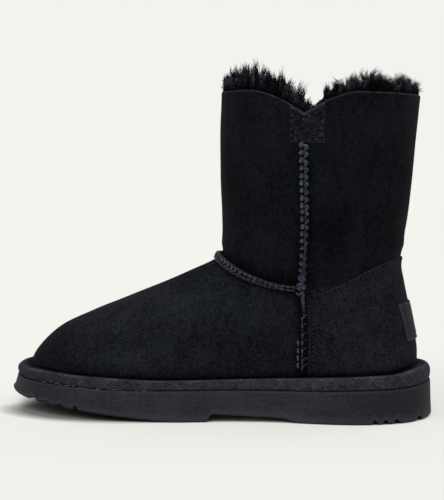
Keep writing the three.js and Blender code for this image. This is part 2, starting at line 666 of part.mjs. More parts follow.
add("outsole", outsole(), foam);
add("platform", platform(), edgeSuede);
add("insole", insole(), fleece);
add("upper", upper(), suede);
add("heel_counter", counter(), counterSuede);
add("heel_label", label(), labelRubber);
add("instep_seam", instepSeam(), thread);
add("side_seam_outer", sideSeam(QUARTER), thread);
add("side_seam_inner", sideSeam(1 - QUARTER), thread);
add("notch_patch_outer", patch(QUARTER), counterSuede);
add("notch_patch_inner", patch(1 - QUARTER), counterSuede);
add("collar_wool", wool(), fleece);

// The origin is the bottom centre of the whole boot's box.
boot.updateMatrixWorld(true);
const box = new THREE.Box3().setFromObject(boot, true);
const centre = box.getCenter(new THREE.Vector3());
boot.position.set(-centre.x, -centre.y, -box.min.z);

export default boot;
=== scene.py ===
"""A short black sheepskin boot for the left foot, dressed for close viewing.

Lengths are millimetres on the boot's own form and become metres when a mesh is made. The form is
a surface of two numbers: u runs once round the boot from the toe line over its outer side, and v
runs up it from the sole to the collar.
"""

import logging
import math
from dataclasses import dataclass, field
from enum import Enum
from typing import Callable, NamedTuple, Sequence

import bmesh
import bpy
import numpy as np
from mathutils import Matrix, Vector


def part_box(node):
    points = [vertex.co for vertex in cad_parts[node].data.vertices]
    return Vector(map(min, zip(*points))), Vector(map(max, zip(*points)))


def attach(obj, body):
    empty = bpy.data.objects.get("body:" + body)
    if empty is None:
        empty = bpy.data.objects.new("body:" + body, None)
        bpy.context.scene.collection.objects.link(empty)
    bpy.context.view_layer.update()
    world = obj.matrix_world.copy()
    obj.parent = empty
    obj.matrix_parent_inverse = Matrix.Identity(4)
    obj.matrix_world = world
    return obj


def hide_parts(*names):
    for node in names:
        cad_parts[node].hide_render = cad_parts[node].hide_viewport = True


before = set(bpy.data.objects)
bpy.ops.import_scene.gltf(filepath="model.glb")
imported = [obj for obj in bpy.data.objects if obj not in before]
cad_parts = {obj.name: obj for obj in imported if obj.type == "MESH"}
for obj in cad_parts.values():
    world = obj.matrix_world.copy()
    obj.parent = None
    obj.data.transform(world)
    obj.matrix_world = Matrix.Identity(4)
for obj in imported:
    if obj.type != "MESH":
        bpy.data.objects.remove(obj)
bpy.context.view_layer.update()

log = logging.getLogger("boot")
MM = 0.001
Array = np.ndarray
Colour = tuple[float, float, float]


def length_of(node: str, axis: int) -> float:
    """Gives a CAD node's extent along one axis, in millimetres."""
    low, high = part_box(node)
    return (high[axis] - low[axis]) / MM


# The boot's main sizes: those of the frame, and those that its box doesn't show.
SOLE_LENGTH = length_of("outsole", 0)
COLLAR_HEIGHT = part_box("upper")[1][2] / MM
COLLAR_WIDTH = 102.0
BALL_WIDTH = 98.0
SOLE_HEIGHT = 31.0
TOE_SPRING = 10.0
TOE_SWING = 9.0
SKIN = 2.6
GAP = 0.3
INSTEP_V = 0.42
NOTCH_FROM_V = 0.6
SWING_FROM = 0.5
SPRING_FROM_SHARE = 0.565
SPRING_POWER = 1.03
PATCH_DROP = 19.0

# A small step of u or v, and how close points lie, in millimetres, that are made one.
STEP = 1e-3
PANEL_MERGE = 0.01
SOLE_MERGE = 0.02


class Overhang(NamedTuple):
    """How far an outline stands out past the upper, at the sides and the two ends."""

    side: float
    toe: float
    heel: float

    @classmethod
    def even(cls, by: float) -> "Overhang":
        """Gives the overhang that is one length all round."""
        return cls(by, by, by)

    def grown(self, by: float) -> "Overhang":
        """Gives the overhang moved out by one length all round."""
        return self.plus(Overhang.even(by))

    def plus(self, other: "Overhang", share: float = 1.0) -> "Overhang":
        """Gives the sum of this overhang and a share of another."""
        pairs = zip(self, other)
        return Overhang(*(a + share * b for a, b in pairs))


OVERHANG = Overhang(side=6.3, toe=8.3, heel=9.9)
FLARE = Overhang(side=1.4, toe=3.6, heel=1.0)
BEVEL = Overhang(side=1.5, toe=2.0, heel=3.2)
BEVEL_UP = 2.2


class SolePoint(NamedTuple):
    """The sole's side view at one share of its length from the heel, as shares of its height."""

    along: float
    wall: float
    top: float


SOLE_LINE = [
    SolePoint(along=0.0, wall=0.77, top=1.11),
    SolePoint(along=0.035, wall=0.73, top=1.074),
    SolePoint(along=0.074, wall=0.705, top=1.0),
    SolePoint(along=0.148, wall=0.69, top=0.968),
    SolePoint(along=0.292, wall=0.652, top=0.906),
    SolePoint(along=0.472, wall=0.648, top=0.852),
    SolePoint(along=0.62, wall=0.638, top=0.839),
    SolePoint(along=0.736, wall=0.635, top=0.868),
    SolePoint(along=0.823, wall=0.652, top=0.882),
    SolePoint(along=0.887, wall=0.662, top=0.902),
    SolePoint(along=0.944, wall=0.662, top=0.892),
    SolePoint(along=1.0, wall=0.675, top=0.902),
]


class PlanPoint(NamedTuple):
    """Half widths of the foot at one share of its length, as shares of half the ball width."""

    along: float
    outer: float
    inner: float


PLAN = [
    PlanPoint(along=0.0, outer=0.76, inner=0.76),
    PlanPoint(along=0.15, outer=0.745, inner=0.74),
    PlanPoint(along=0.33, outer=0.71, inner=0.64),
    PlanPoint(along=0.48, outer=0.81, inner=0.72),
    PlanPoint(along=0.62, outer=0.955, inner=0.9),
    PlanPoint(along=0.73, outer=1.0, inner=1.0),
    PlanPoint(along=0.86, outer=0.965, inner=1.0),
    PlanPoint(along=1.0, outer=0.94, inner=0.96),
]


class Ring(NamedTuple):
    """One ring of the upper. Lengths are shares of the foot, heights shares of the collar's."""

    v: float
    front: float
    back: float
    front_up: float
    back_up: float
    follow: float
    sag: float
    seam: float
    wide: float
    foot: float
    toe: float
    heel: float


RINGS = [
    Ring(0.0, 1.0, 0.0, 0.0, 0.0, 1.0, 0.0, 0.2715, 0.94, 1.0, 0.62, 0.8),
    Ring(0.045, 0.9788, 0.0008, 0.0444, 0.0526, 1.0, 0.004, 0.2715, 0.995, 1.0, 0.62, 0.8),
    Ring(0.11, 0.9205, 0.0123, 0.1409, 0.1637, 0.8, 0.016, 0.2715, 0.985, 0.95, 0.5, 0.75),
    Ring(0.19, 0.8299, 0.0235, 0.2262, 0.2639, 0.6, 0.036, 0.272, 0.93, 0.8, 0.32, 0.65),
    Ring(0.28, 0.7064, 0.0343, 0.3183, 0.3558, 0.4, 0.058, 0.273, 0.85, 0.5, 0.18, 0.5),
    Ring(0.36, 0.5829, 0.0413, 0.4095, 0.4366, 0.2, 0.079, 0.275, 0.785, 0.2, 0.12, 0.35),
    Ring(0.42, 0.4934, 0.0367, 0.4894, 0.5048, 0.0, 0.0905, 0.275, 0.76, 0.0, 0.12, 0.22),
    Ring(0.48, 0.4869, 0.0297, 0.5385, 0.5433, 0.0, 0.073, 0.2715, 0.8, 0.0, 0.15, 0.15),
    Ring(0.55, 0.4865, 0.0224, 0.6106, 0.6106, 0.0, 0.049, 0.267, 0.85, 0.0, 0.15, 0.15),
    Ring(0.72, 0.4908, 0.0116, 0.7524, 0.75, 0.0, 0.018, 0.267, 0.94, 0.0, 0.15, 0.15),
    Ring(0.87, 0.4904, 0.0023, 0.887, 0.8822, 0.0, 0.005, 0.268, 0.98, 0.0, 0.15, 0.15),
    Ring(1.0, 0.4873, -0.0054, 1.0, 0.9856, 0.0, 0.0, 0.267, 1.0, 0.0, 0.15, 0.15),
]


class Crease(NamedTuple):
    """A soft trough (depth above 0) or ridge: where it lies, how far it reaches, how it turns."""

    u: float
    v: float
    reach_u: float
    reach_v: float
    turn: float
    depth: float


CREASES = [
    Crease(u=0.5, v=0.51, reach_u=0.09, reach_v=0.03, turn=0.0, depth=0.5),
    Crease(u=0.5, v=0.46, reach_u=0.08, reach_v=0.02, turn=0.0, depth=-0.3),
    Crease(u=0.42, v=0.53, reach_u=0.05, reach_v=0.02, turn=0.35, depth=0.7),
    Crease(u=0.59, v=0.54, reach_u=0.05, reach_v=0.02, turn=-0.3, depth=0.7),
    Crease(u=0.11, v=0.50, reach_u=0.07, reach_v=0.022, turn=-0.25, depth=0.8),
    Crease(u=0.89, v=0.51, reach_u=0.07, reach_v=0.022, turn=0.25, depth=0.8),
    Crease(u=0.14, v=0.58, reach_u=0.06, reach_v=0.03, turn=-0.2, depth=-0.7),
    Crease(u=0.16, v=0.33, reach_u=0.05, reach_v=0.03, turn=0.3, depth=0.9),
    Crease(u=0.84, v=0.33, reach_u=0.05, reach_v=0.03, turn=-0.3, depth=0.9),
    Crease(u=0.07, v=0.25, reach_u=0.07, reach_v=0.025, turn=0.15, depth=0.6),
    Crease(u=0.38, v=0.72, reach_u=0.07, reach_v=0.06, turn=0.2, depth=0.7),
    Crease(u=0.13, v=0.8, reach_u=0.06, reach_v=0.08, turn=0.0, depth=0.6),
    Crease(u=0.66, v=0.68, reach_u=0.08, reach_v=0.05, turn=-0.2, depth=0.8),
]


class NapAndLightSpot(NamedTuple):
    """A soft patch of paler (above 0) or deeper suede on both sides, nap and painted light: its place
    and reach.
    """

    u: float
    v: float
    reach_u: float
    reach_v: float
    strength: float


# Spots of paler and deeper suede: partly the nap's own tone, partly painted light and shade.
NAP_AND_LIGHT_SPOTS = [
    NapAndLightSpot(u=0.09, v=0.3, reach_u=0.06, reach_v=0.06, strength=0.34),
    NapAndLightSpot(u=0.07, v=0.17, reach_u=0.05, reach_v=0.05, strength=0.22),
    NapAndLightSpot(u=0.135, v=0.06, reach_u=0.02, reach_v=0.03, strength=0.3),
    NapAndLightSpot(u=0.215, v=0.09, reach_u=0.04, reach_v=0.07, strength=-0.25),
    NapAndLightSpot(u=0.035, v=0.07, reach_u=0.05, reach_v=0.08, strength=-0.5),
    NapAndLightSpot(u=0.0, v=0.38, reach_u=0.09, reach_v=0.05, strength=-0.4),
    NapAndLightSpot(u=0.17, v=0.53, reach_u=0.05, reach_v=0.05, strength=0.3),
    NapAndLightSpot(u=0.1, v=0.66, reach_u=0.03, reach_v=0.12, strength=-0.35),
    NapAndLightSpot(u=0.19, v=0.84, reach_u=0.05, reach_v=0.07, strength=0.25),
    NapAndLightSpot(u=0.37, v=0.88, reach_u=0.06, reach_v=0.08, strength=0.35),
    NapAndLightSpot(u=0.3, v=0.56, reach_u=0.03, reach_v=0.08, strength=-0.35),
    NapAndLightSpot(u=0.46, v=0.7, reach_u=0.05, reach_v=0.2, strength=-0.3),
    NapAndLightSpot(u=0.38, v=0.33, reach_u=0.06, reach_v=0.06, strength=0.25),
    NapAndLightSpot(u=0.33, v=0.05, reach_u=0.09, reach_v=0.04, strength=0.1),
]


class Side(Enum):
    """The boot's two side seams, by the turn at which each runs up it."""

    OUTER = 0.25
    INNER = 0.75

    @property
    def heelward(self) -> float:
        """Gives the direction of u that leads from the seam to the heel."""
        return 1.0 if self is Side.OUTER else -1.0


def smooth(t: Array) -> Array:
    """Gives 3t² - 2t³ for t held between 0 and 1."""
    t = np.clip(t, 0.0, 1.0)
    return t * t * (3.0 - 2.0 * t)


def column(table: Sequence[NamedTuple], key: str, name: str, at: Array) -> Array:
    """Reads a smooth curve through one column of a table.

    Each stretch is a cubic with its ends' slopes, a slope being the mean of the two chords beside
    it, each weighted by the other's length.

    Args:
        table: rows with named columns.
        key: the column that the curve runs along.
        name: the column that it gives.
        at: where to read it, held within the table.

    Returns:
        The curve's values, in the shape of at.
    """
    keys = np.array([getattr(row, key) for row in table])
    values = np.array([getattr(row, name) for row in table])
    steps = np.diff(keys)
    chords = np.diff(values) / steps
    inner = (chords[:-1] * steps[1:] + chords[1:] * steps[:-1]) / (steps[:-1] + steps[1:])
    slopes = np.concatenate([chords[:1], inner, chords[-1:]])
    x = np.clip(at, keys[0], keys[-1])
    i = np.clip(np.searchsorted(keys, x, side="left") - 1, 0, len(steps) - 1)
    t = (x - keys[i]) / steps[i]
    a, b = values[i], values[i + 1]
    m, n = slopes[i] * steps[i], slopes[i + 1] * steps[i]
    return a + m * t + (3 * (b - a) - 2 * m - n) * t**2 + (2 * (a - b) + m + n) * t**3


def unit(vectors: Array) -> Array:
    """Gives vectors their length of 1."""
    return vectors / np.maximum(np.linalg.norm(vectors, axis=-1, keepdims=True), 1e-12)


def bell(*shares: Array | float) -> Array:
    """Gives 1 at the middle of a bell, which falls with the sum of the shares' squares."""
    return np.exp(-sum(share**2 for share in shares))


def plump(q: Array, least: float) -> Array:
    """Gives a stitch's girth along it: 1 in its middle and least at its ends, by a sine."""
    return least + (1 - least) * np.sin(np.pi * q)


def length_gone(path: Array) -> Array:
    """Gives the length along a path up to each of its points."""
    return np.concatenate([[0], np.cumsum(np.linalg.norm(np.diff(path, axis=0), axis=1))])


def steady(value: float) -> Callable[[Array], Array]:
    """Gives a line that stays at one value."""
    return lambda at: np.full_like(at, value)


def put(name: str, data: bpy.types.ID) -> bpy.types.Object:
    """Makes an object of its data and places it in the scene."""
    thing = bpy.data.objects.new(name, data)
    bpy.context.scene.collection.objects.link(thing)
    return thing


@dataclass
class Form:
    """The boot's form: the upper's outer face, and the sole's outline and heights below it."""

    notch_depth: float = 13.7
    notch_reach: float = 34.0
    notch_curve: float = 1.6
    toe_end: float = field(init=False)
    heel_end: float = field(init=False)
    shift: float = field(init=False)

    def __post_init__(self) -> None:
        """Works out the upper's two ends, and where the frame puts the form from side to side."""
        self.toe_end = SOLE_LENGTH / 2 - OVERHANG.toe - FLARE.toe
        self.heel_end = -SOLE_LENGTH / 2 + OVERHANG.heel + FLARE.heel
        self.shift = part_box("upper")[1][1] / MM - COLLAR_WIDTH / 2

    def sole_height(self, x: Array, name: str) -> Array:
        """Gives the height of the platform's top, or of the outsole's wall, at x."""
        return SOLE_HEIGHT * column(SOLE_LINE, "along", name, x / SOLE_LENGTH + 0.5)

    def tread(self, x: Array) -> Array:
        """Gives the tread's height at x: level, then a power curve up to the toe."""
        start = (SPRING_FROM_SHARE - 0.5) * SOLE_LENGTH
        past = np.clip((x - start) / (SOLE_LENGTH / 2 - start), 0.0, 1.0)
        return TOE_SPRING * past**SPRING_POWER

    def axis(self, x: Array) -> Array:
        """Gives the foot's axis at x, a parabola to the inner side over the forefoot."""
        length = self.toe_end - self.heel_end
        start = self.heel_end + SWING_FROM * length
        past = np.maximum((x - start) / (length * (1 - SWING_FROM)), 0.0)
        return -TOE_SWING * past**2

    def face(self, u: Array, v: Array) -> Array:
        """Gives points of the upper's outer face.

        A ring is an oval between its front and its back, skewed so that a quarter turn meets the
        side seam, and squared off at its ends. Its height runs evenly from end to end, less a
        parabolic dip at the sides and, near the collar, the V notch.

        Args:
            u: turns.
            v: heights on the form, 0 to 1.

        Returns:
            Points in millimetres, with the form's own zero from side to side.
        """
        u, v = np.broadcast_arrays(np.asarray(u, float), np.asarray(v, float))
        get = lambda name: column(RINGS, "v", name, v)
        length = self.toe_end - self.heel_end
        front, back, seam = (self.heel_end + length * get(n) for n in ("front", "back", "seam"))
        centre, half = (front + back) / 2, (front - back) / 2
        skew = (seam - centre) / half
        c, s = np.cos(2 * np.pi * u), np.sin(2 * np.pi * u)
        share = c + skew * s * s
        x = centre + half * share
        oval = s * np.sqrt(np.maximum(1 - 2 * skew * c - (skew * s) ** 2, 0.0))
        square = 1 + np.where(share > 0, get("toe"), get("heel")) * share**2
        along = (x - self.heel_end) / length
        outer, inner = (column(PLAN, "along", n, along) for n in ("outer", "inner"))
        foot = get("foot")
        plan = np.where(s >= 0, outer, inner)
        half_width = get("wide") * (foot * plan * BALL_WIDTH + (1 - foot) * COLLAR_WIDTH) / 2
        rise = (1 + share) / 2
        up = get("back_up") * (1 - rise) + get("front_up") * rise - get("sag") * (1 - share**2)
        closeness = np.maximum(1 - np.abs(x - seam) / self.notch_reach, 0.0)
        notch = self.notch_depth * closeness**self.notch_curve
        notch = notch * smooth((v - NOTCH_FROM_V) / (1 - NOTCH_FROM_V))
        z = GAP * (1 - v) + get("follow") * self.sole_height(x, "top") + COLLAR_HEIGHT * up - notch
        return np.stack([x, self.axis(x) + half_width * oval * square, z], axis=-1)

    def normal(self, u: Array, v: Array) -> Array:
        """Gives the face's outward direction: its two small steps, crossed."""
        low, high = np.maximum(v - STEP, 0.0), np.minimum(v + STEP, 1.0)
        across = self.face(u + STEP, v) - self.face(u - STEP, v)
        return unit(np.cross(across, self.face(u, high) - self.face(u, low)))

    def relief(self, u: Array, v: Array) -> Array:
        """Gives the leather's soft folds, in millimetres: listed bells and slow waves."""
        total = 0.16 * np.sin(2 * np.pi * (3 * u + 1.1 * v)) * np.sin(9.0 * v + 1.0)
        total = total + 0.12 * np.sin(2 * np.pi * (7 * u - 2.3 * v) + 0.7) * np.sin(17 * v)
        for crease in CREASES:
            du = (u - crease.u + 0.5) % 1.0 - 0.5
            dv = v - crease.v - crease.turn * du
            total = total - crease.depth * bell(du / crease.reach_u, dv / crease.reach_v)
        return total * smooth(v / 0.06) * smooth((1.0 - v) / 0.05)

    def nap_and_shade(self, u: Array, v: Array) -> Array:
        """Gives how brushed the suede is, above 0, or how deep, below 0.

        The listed spots are bells, partly the nap's own tone and partly painted light and shade.
        Painted shade also darkens the suede beside the side seams below their patches, the instep
        seam and the band, as a bell of the distance to each.
        """
        u, v = np.broadcast_arrays(np.asarray(u, float), np.asarray(v, float))
        half = 0.5 - np.abs(u % 1.0 - 0.5)
        total = np.zeros(u.shape)
        for spot in NAP_AND_LIGHT_SPOTS:
            away = ((half - spot.u) / spot.reach_u, (v - spot.v) / spot.reach_v)
            total = total + spot.strength * bell(*away)
        climb = self.climb_rate(u, v)
        beside = (half - Side.OUTER.value) * self.turn_rate(u, v)
        under = np.where(v < INSTEP_V, 1.0, 0.55) * (v - INSTEP_V) * climb
        open_seam = 0.55 * smooth((0.83 - v) / 0.03)
        instep = 0.8 * smooth((Side.OUTER.value + 0.005 - half) / 0.01)
        # Painted shade beside the side seams below their patches, beside the instep seam and above
        # the band.
        for away, reach, depth in ((beside, 5.0, open_seam), (under, 4.2, instep),
                                   (v * climb, 4.0, 0.3)):
            total = total - depth * bell(away / reach)
        return total

    def skin(self, u: Array, v: Array, lift: Array = 0.0) -> Array:
        """Gives points over the leather: the face, moved out by its relief and a lift."""
        u, v, lift = np.broadcast_arrays(*(np.asarray(a, float) for a in (u, v, lift)))
        out = (self.relief(u, v) + lift)[..., None]
        points = self.face(u, v) + self.normal(u, v) * out
        low = v <= 0.0
        points[..., 2] = np.where(low, self.sole_height(points[..., 0], "top") + GAP, points[..., 2])
        return points

    def row_at(self, u: Array, height: Callable[[Array], Array]) -> Array:
        """Finds v where the face crosses a line of the side view, by halving."""
        low, high = np.zeros_like(u), np.ones_like(u)
        for _ in range(30):
            middle = (low + high) / 2
            points = self.face(u, middle)
            under = points[..., 2] < height(points[..., 0])
            low, high = np.where(under, middle, low), np.where(under, high, middle)
        return (low + high) / 2

    def turn_rate(self, u: Array, v: Array) -> Array:
        """Gives the millimetres round the boot for one turn of u."""
        return np.linalg.norm(self.face(u + STEP, v) - self.face(u - STEP, v), axis=-1) / (2 * STEP)

    def climb_rate(self, u: Array, v: Array) -> Array:
        """Gives the millimetres up the boot for v from 0 to 1."""
        return np.linalg.norm(self.face(u, v + STEP) - self.face(u, v - STEP), axis=-1) / (2 * STEP)

    def outline(self, overhang: Overhang, u: Array) -> Array:
        """Gives the plan outline of the upper at the sole, moved out by an overhang.

        The overhang changes from its side to its end value with the square of the direction
        along the foot.
        """
        ahead = self.face(u + STEP, 0.0) - self.face(u - STEP, 0.0)
        out = unit(np.stack([ahead[..., 1], -ahead[..., 0]], axis=-1))
        end = np.where(out[..., 0] > 0, overhang.toe, overhang.heel)
        by = overhang.side + (end - overhang.side) * out[..., 0] ** 2
        return self.face(u, 0.0)[..., :2] + out * by[..., None]


def feed(tree: bpy.types.NodeTree, socket: bpy.types.NodeSocket,
         value: "Term | float | tuple") -> None:
    """Links a Term to a socket, or sets the socket's own value."""
    if isinstance(value, Term):
        tree.links.new(value.socket, socket)
    else:
        socket.default_value = value


class Term:
    """A value in a shader, so that maths on it can be written as an expression."""

    def __init__(self, tree: bpy.types.NodeTree, socket: bpy.types.NodeSocket) -> None:
        """Wraps one output socket."""
        self.tree = tree
        self.socket = socket

    def _maths(self, operation: str, *values: "Term | float") -> "Term":
        """Adds a Math node for the values and gives its result."""
        node = self.tree.nodes.new("ShaderNodeMath")
        node.operation = operation
        for socket, value in zip(node.inputs, values):
            feed(self.tree, socket, value)
        return Term(self.tree, node.outputs[0])

    def __add__(self, other: "Term | float") -> "Term":
        """Adds."""
        return self._maths("ADD", self, other)

    __radd__ = __add__

    def __sub__(self, other: "Term | float") -> "Term":
        """Subtracts the other from this."""
        return self._maths("SUBTRACT", self, other)

    def __rsub__(self, other: "Term | float") -> "Term":
        """Subtracts this from the other."""
        return self._maths("SUBTRACT", other, self)

    def __mul__(self, other: "Term | float") -> "Term":
        """Multiplies."""
        return self._maths("MULTIPLY", self, other)

    __rmul__ = __mul__

    def __pow__(self, other: "Term | float") -> "Term":
        """Raises this to a power."""
        return self._maths("POWER", self, other)

    def held(self) -> "Term":
        """Holds the value between 0 and 1."""
        return self._maths("MINIMUM", self._maths("MAXIMUM", self, 0.0), 1.0)


class Shader:
    """One material's nodes."""

    def __init__(self, name: str) -> None:
        """Starts a material with a single surface shader."""
        self.material = bpy.data.materials.new(name)
        self.material.use_nodes = True
        self.tree = self.material.node_tree
        self.tree.nodes.clear()
        self.surface = self.node("ShaderNodeBsdfPrincipled")
        self.node("ShaderNodeOutputMaterial", inputs={"Surface": self.out(self.surface)})
        self.coords = self.out(self.node("ShaderNodeTexCoord"), "Object")

    def node(self, kind: str, settings: dict | None = None,
             inputs: dict | None = None) -> bpy.types.Node:
        """Adds a node.

        Args:
            kind: the node's type.
            settings: its own properties, set first.
            inputs: values or Terms for its sockets, by name or number.

        Returns:
            The node.
        """
        node = self.tree.nodes.new(kind)
        for name, value in (settings or {}).items():
            setattr(node, name, value)
        for name, value in (inputs or {}).items():
            feed(self.tree, node.inputs[name], value)
        return node

    def out(self, node: bpy.types.Node, name: str | int = 0) -> Term:
        """Gives one of a node's outputs."""
        return Term(self.tree, node.outputs[name])

    def attribute(self, name: str) -> Term:
        """Reads a number that the piece's mesh holds at its points."""
        return self.out(self.node("ShaderNodeAttribute", {"attribute_name": name}), "Fac")

    def noise(self, size: float, detail: float = 3.0, rough: float = 0.55,
              stretch: tuple[float, float, float] = (1.0, 1.0, 1.0), warp: float = 0.0) -> Term:
        """Gives a cloudy value about 0.5.

        Args:
            size: the width of its blots, in millimetres.
            detail: how many finer layers it has.
            rough: how strong the finer layers are.
            stretch: how many times as dense it is along X, Y and Z.
            warp: how much it is twisted.

        Returns:
            The value.
        """
        mapping = self.node("ShaderNodeMapping", inputs={"Vector": self.coords, "Scale": stretch})
        inputs = {"Vector": self.out(mapping), "Scale": 1.0 / (size * MM), "Detail": detail,
                  "Roughness": rough, "Distortion": warp}
        return self.out(self.node("ShaderNodeTexNoise", inputs=inputs))

    def cells(self, size: float) -> Term:
        """Gives the distance to the nearest of scattered points, a size apart in millimetres."""
        inputs = {"Vector": self.coords, "Scale": 1.0 / (size * MM)}
        return self.out(self.node("ShaderNodeTexVoronoi", inputs=inputs))

    def span(self, value: Term, low: float, high: float) -> Term:
        """Stretches low to high onto 0 to 1, held there."""
        inputs = {"Value": value, "From Min": low, "From Max": high}
        return self.out(self.node("ShaderNodeMapRange", {"clamp": True}, inputs))

    def blend(self, first: Colour | Term, second: Colour | Term, share: Term | float) -> Term:
        """Mixes two colours."""
        ends = [c if isinstance(c, Term) else (*c, 1.0) for c in (first, second)]
        inputs = {0: share, 6: ends[0], 7: ends[1]}
        return self.out(self.node("ShaderNodeMix", {"data_type": "RGBA"}, inputs), 2)

    def tint(self, colour: Term, by: Colour, share: Term | float) -> Term:
        """Multiplies a share of a colour by another."""
        inputs = {0: share, 6: colour, 7: (*by, 1.0)}
        settings = {"data_type": "RGBA", "blend_type": "MULTIPLY"}
        return self.out(self.node("ShaderNodeMix", settings, inputs), 2)

    def bump(self, height: Term, depth: float, strength: float = 1.0) -> Term:
        """Gives a surface direction from a height, whose full range is a depth in millimetres."""
        inputs = {"Height": height, "Distance": depth * MM, "Strength": strength}
        return self.out(self.node("ShaderNodeBump", inputs=inputs))

    def dress(self, **inputs: Term | float | tuple) -> bpy.types.Material:
        """Sets the surface shader's sockets, named with underscores, and gives the material."""
        for name, value in inputs.items():
            feed(self.tree, self.surface.inputs[name.replace("_", " ")], value)
        return self.material


def tone(red: int, green: int, blue: int) -> Colour:
    """Turns a screen colour into the shader's linear one."""
    bend = lambda c: c / 12.92 if c <= 0.04045 else ((c + 0.055) / 1.055) ** 2.4
    return tuple(bend(c / 255) for c in (red, green, blue))


# The tint of deeper nap and painted shade, where the suede's mark falls below 0.
DEEP_NAP_AND_SHADE = (0.38, 0.38, 0.42)


@dataclass(frozen=True)
class Suede:
    """Black suede: brushed nap in two tones, with cut edges where the mesh marks them."""

    name: str
    deep: Colour
    brushed: Colour
    edge: Colour
    sheen: float = 0.014
    mottle: float = 16.0
    nap: float = 1.45
    shaft: float = 1.0
    blush: Colour = (1.1, 0.96, 1.03)

    def material(self) -> bpy.types.Material:
        """Builds the finish.

        Broad brush marks, small nap marks, specks and the mesh's mark of nap tone and painted light
        choose between the two tones; where that mark is below 0, deeper nap and painted shade darken
        both, and a slow blush warms some of them. The mesh marks the shaft, which is painted darker
        as shade. The bump is the nap's short fibres over a slow unevenness of the hide.
        """
        shader = Shader(self.name)
        broad = shader.noise(self.mottle, detail=3, stretch=(1.0, 1.0, 0.6), warp=0.6)
        small = shader.noise(self.nap * 2.2, detail=4, rough=0.75, warp=0.3)
        speck = shader.noise(self.nap, detail=3, rough=0.8, stretch=(1.0, 1.0, 1.4))
        fibre = shader.noise(self.nap * 0.4, detail=2, stretch=(1.0, 1.0, 0.5))
        warm = shader.span(shader.noise(7.0, detail=3, rough=0.7), 0.44, 0.6)
        worn = shader.attribute("worn")
        share = (shader.span(broad, 0.36, 0.64) * 0.26 + shader.span(small, 0.36, 0.66) * 0.38
                 + shader.span(speck, 0.4, 0.62) * 0.62 - 0.14 + 0.55 * worn).held()
        colour = shader.blend(self.deep, self.brushed, share)
        # Below 0 the mark darkens the colour: deeper nap and painted shade.
        colour = shader.tint(colour, DEEP_NAP_AND_SHADE, (-1.0 * worn).held())
        blushed = shader.tint(colour, self.blush, warm)
        colour = shader.tint(blushed, (self.shaft,) * 3, shader.attribute("shaft"))
        edge = shader.attribute("edge")
        frayed = (edge * shader.span(speck + small, 0.7, 1.3) * 1.1).held()
        colour = shader.blend(colour, self.edge, frayed)
        height = fibre * 0.5 + small * 0.5 + speck * 0.4 + broad * 0.4
        return shader.dress(
            Base_Color=colour, Roughness=0.95, Specular_IOR_Level=0.06, Sheen_Weight=self.sheen,
            Sheen_Roughness=0.4, Sheen_Tint=(*tone(190, 195, 215), 1.0),
            Normal=shader.bump(height, 0.7, 0.75))


@dataclass(frozen=True)
class Foam:
    """Matte moulded foam with a fine pebble and a few scuffs."""

    name: str
    deep: Colour
    worn: Colour
    pebble: float = 1.5

    def material(self) -> bpy.types.Material:
        """Builds the finish: pebbles from scattered points, slow tone and thin long scuffs."""
        shader = Shader(self.name)
        slow = shader.noise(22, detail=3)
        grain = shader.noise(self.pebble, detail=3, rough=0.6)
        scuff = shader.span(shader.noise(2.0, detail=2, stretch=(0.12, 0.12, 1.0)), 0.62, 0.7)
        share = (shader.span(slow, 0.3, 0.7) * 0.42 + shader.span(grain, 0.38, 0.64) * 0.5
                 + scuff * 0.2 + 0.5 * shader.attribute("worn")).held()
        colour = shader.blend(self.deep, self.worn, share)
        edge = shader.attribute("edge")
        colour = shader.blend(colour, tuple(1.5 * c for c in self.worn), edge * 0.5)
        height = grain * 0.7 + shader.cells(self.pebble * 1.4) * 0.5
        return shader.dress(
            Base_Color=colour, Roughness=0.72, Specular_IOR_Level=0.2,
            Normal=shader.bump(height, 0.12, 0.6))


@dataclass(frozen=True)
class Wool:
    """Sheepskin wool: dark roots, smoky tips, part tone and part painted light; each lock its own
    shade.
    """

    name: str
    root: Colour
    tip: Colour

    def material(self) -> bpy.types.Material:
        """Builds the finish from the mesh's marks for the place along a lock and its shade."""
        shader = Shader(self.name)
        along, shade = shader.attribute("tip"), shader.attribute("shade")
        # Dark roots and pale tips: partly the wool's own tone, partly painted shade low in the locks
        # and painted highlights at the tips.
        share = (along**2.4 * (0.02 + 1.3 * shade * shade)).held()
        curl = shader.span(shader.noise(3.4, detail=3, stretch=(1.0, 1.0, 0.6), warp=0.8), 0.42, 0.6)
        colour = shader.blend(self.root, self.tip, (share * (0.06 + 1.2 * curl)).held())
        return shader.dress(
            Base_Color=colour, Roughness=0.85, Specular_IOR_Level=0.08, Sheen_Weight=0.03,
            Sheen_Roughness=0.5, Normal=shader.bump(curl + shader.cells(1.6) * 0.8, 0.5, 0.5))


@dataclass(frozen=True)
class Thread:
    """Thick matte thread with its plies."""

    name: str
    deep: Colour
    light: Colour

    def material(self) -> bpy.types.Material:
        """Builds the finish from plies and shades marked by the mesh, and fuzz."""
        shader = Shader(self.name)
        stitch = shader.noise(3.6, detail=2)
        fuzz = shader.noise(0.9, detail=3, rough=0.7)
        # The ply mark paints each ply lighter at its crest and darker in its grooves: painted light
        # and shade.
        share = (shader.span(stitch, 0.35, 0.65) * 0.45 + shader.span(fuzz, 0.38, 0.64) * 0.6
                 + shader.attribute("ply") * 0.3 + shader.attribute("shade") - 0.05).held()
        return shader.dress(
            Base_Color=shader.blend(self.deep, self.light, share), Roughness=0.8,
            Specular_IOR_Level=0.2, Sheen_Weight=0.15, Normal=shader.bump(fuzz, 0.3, 0.8))


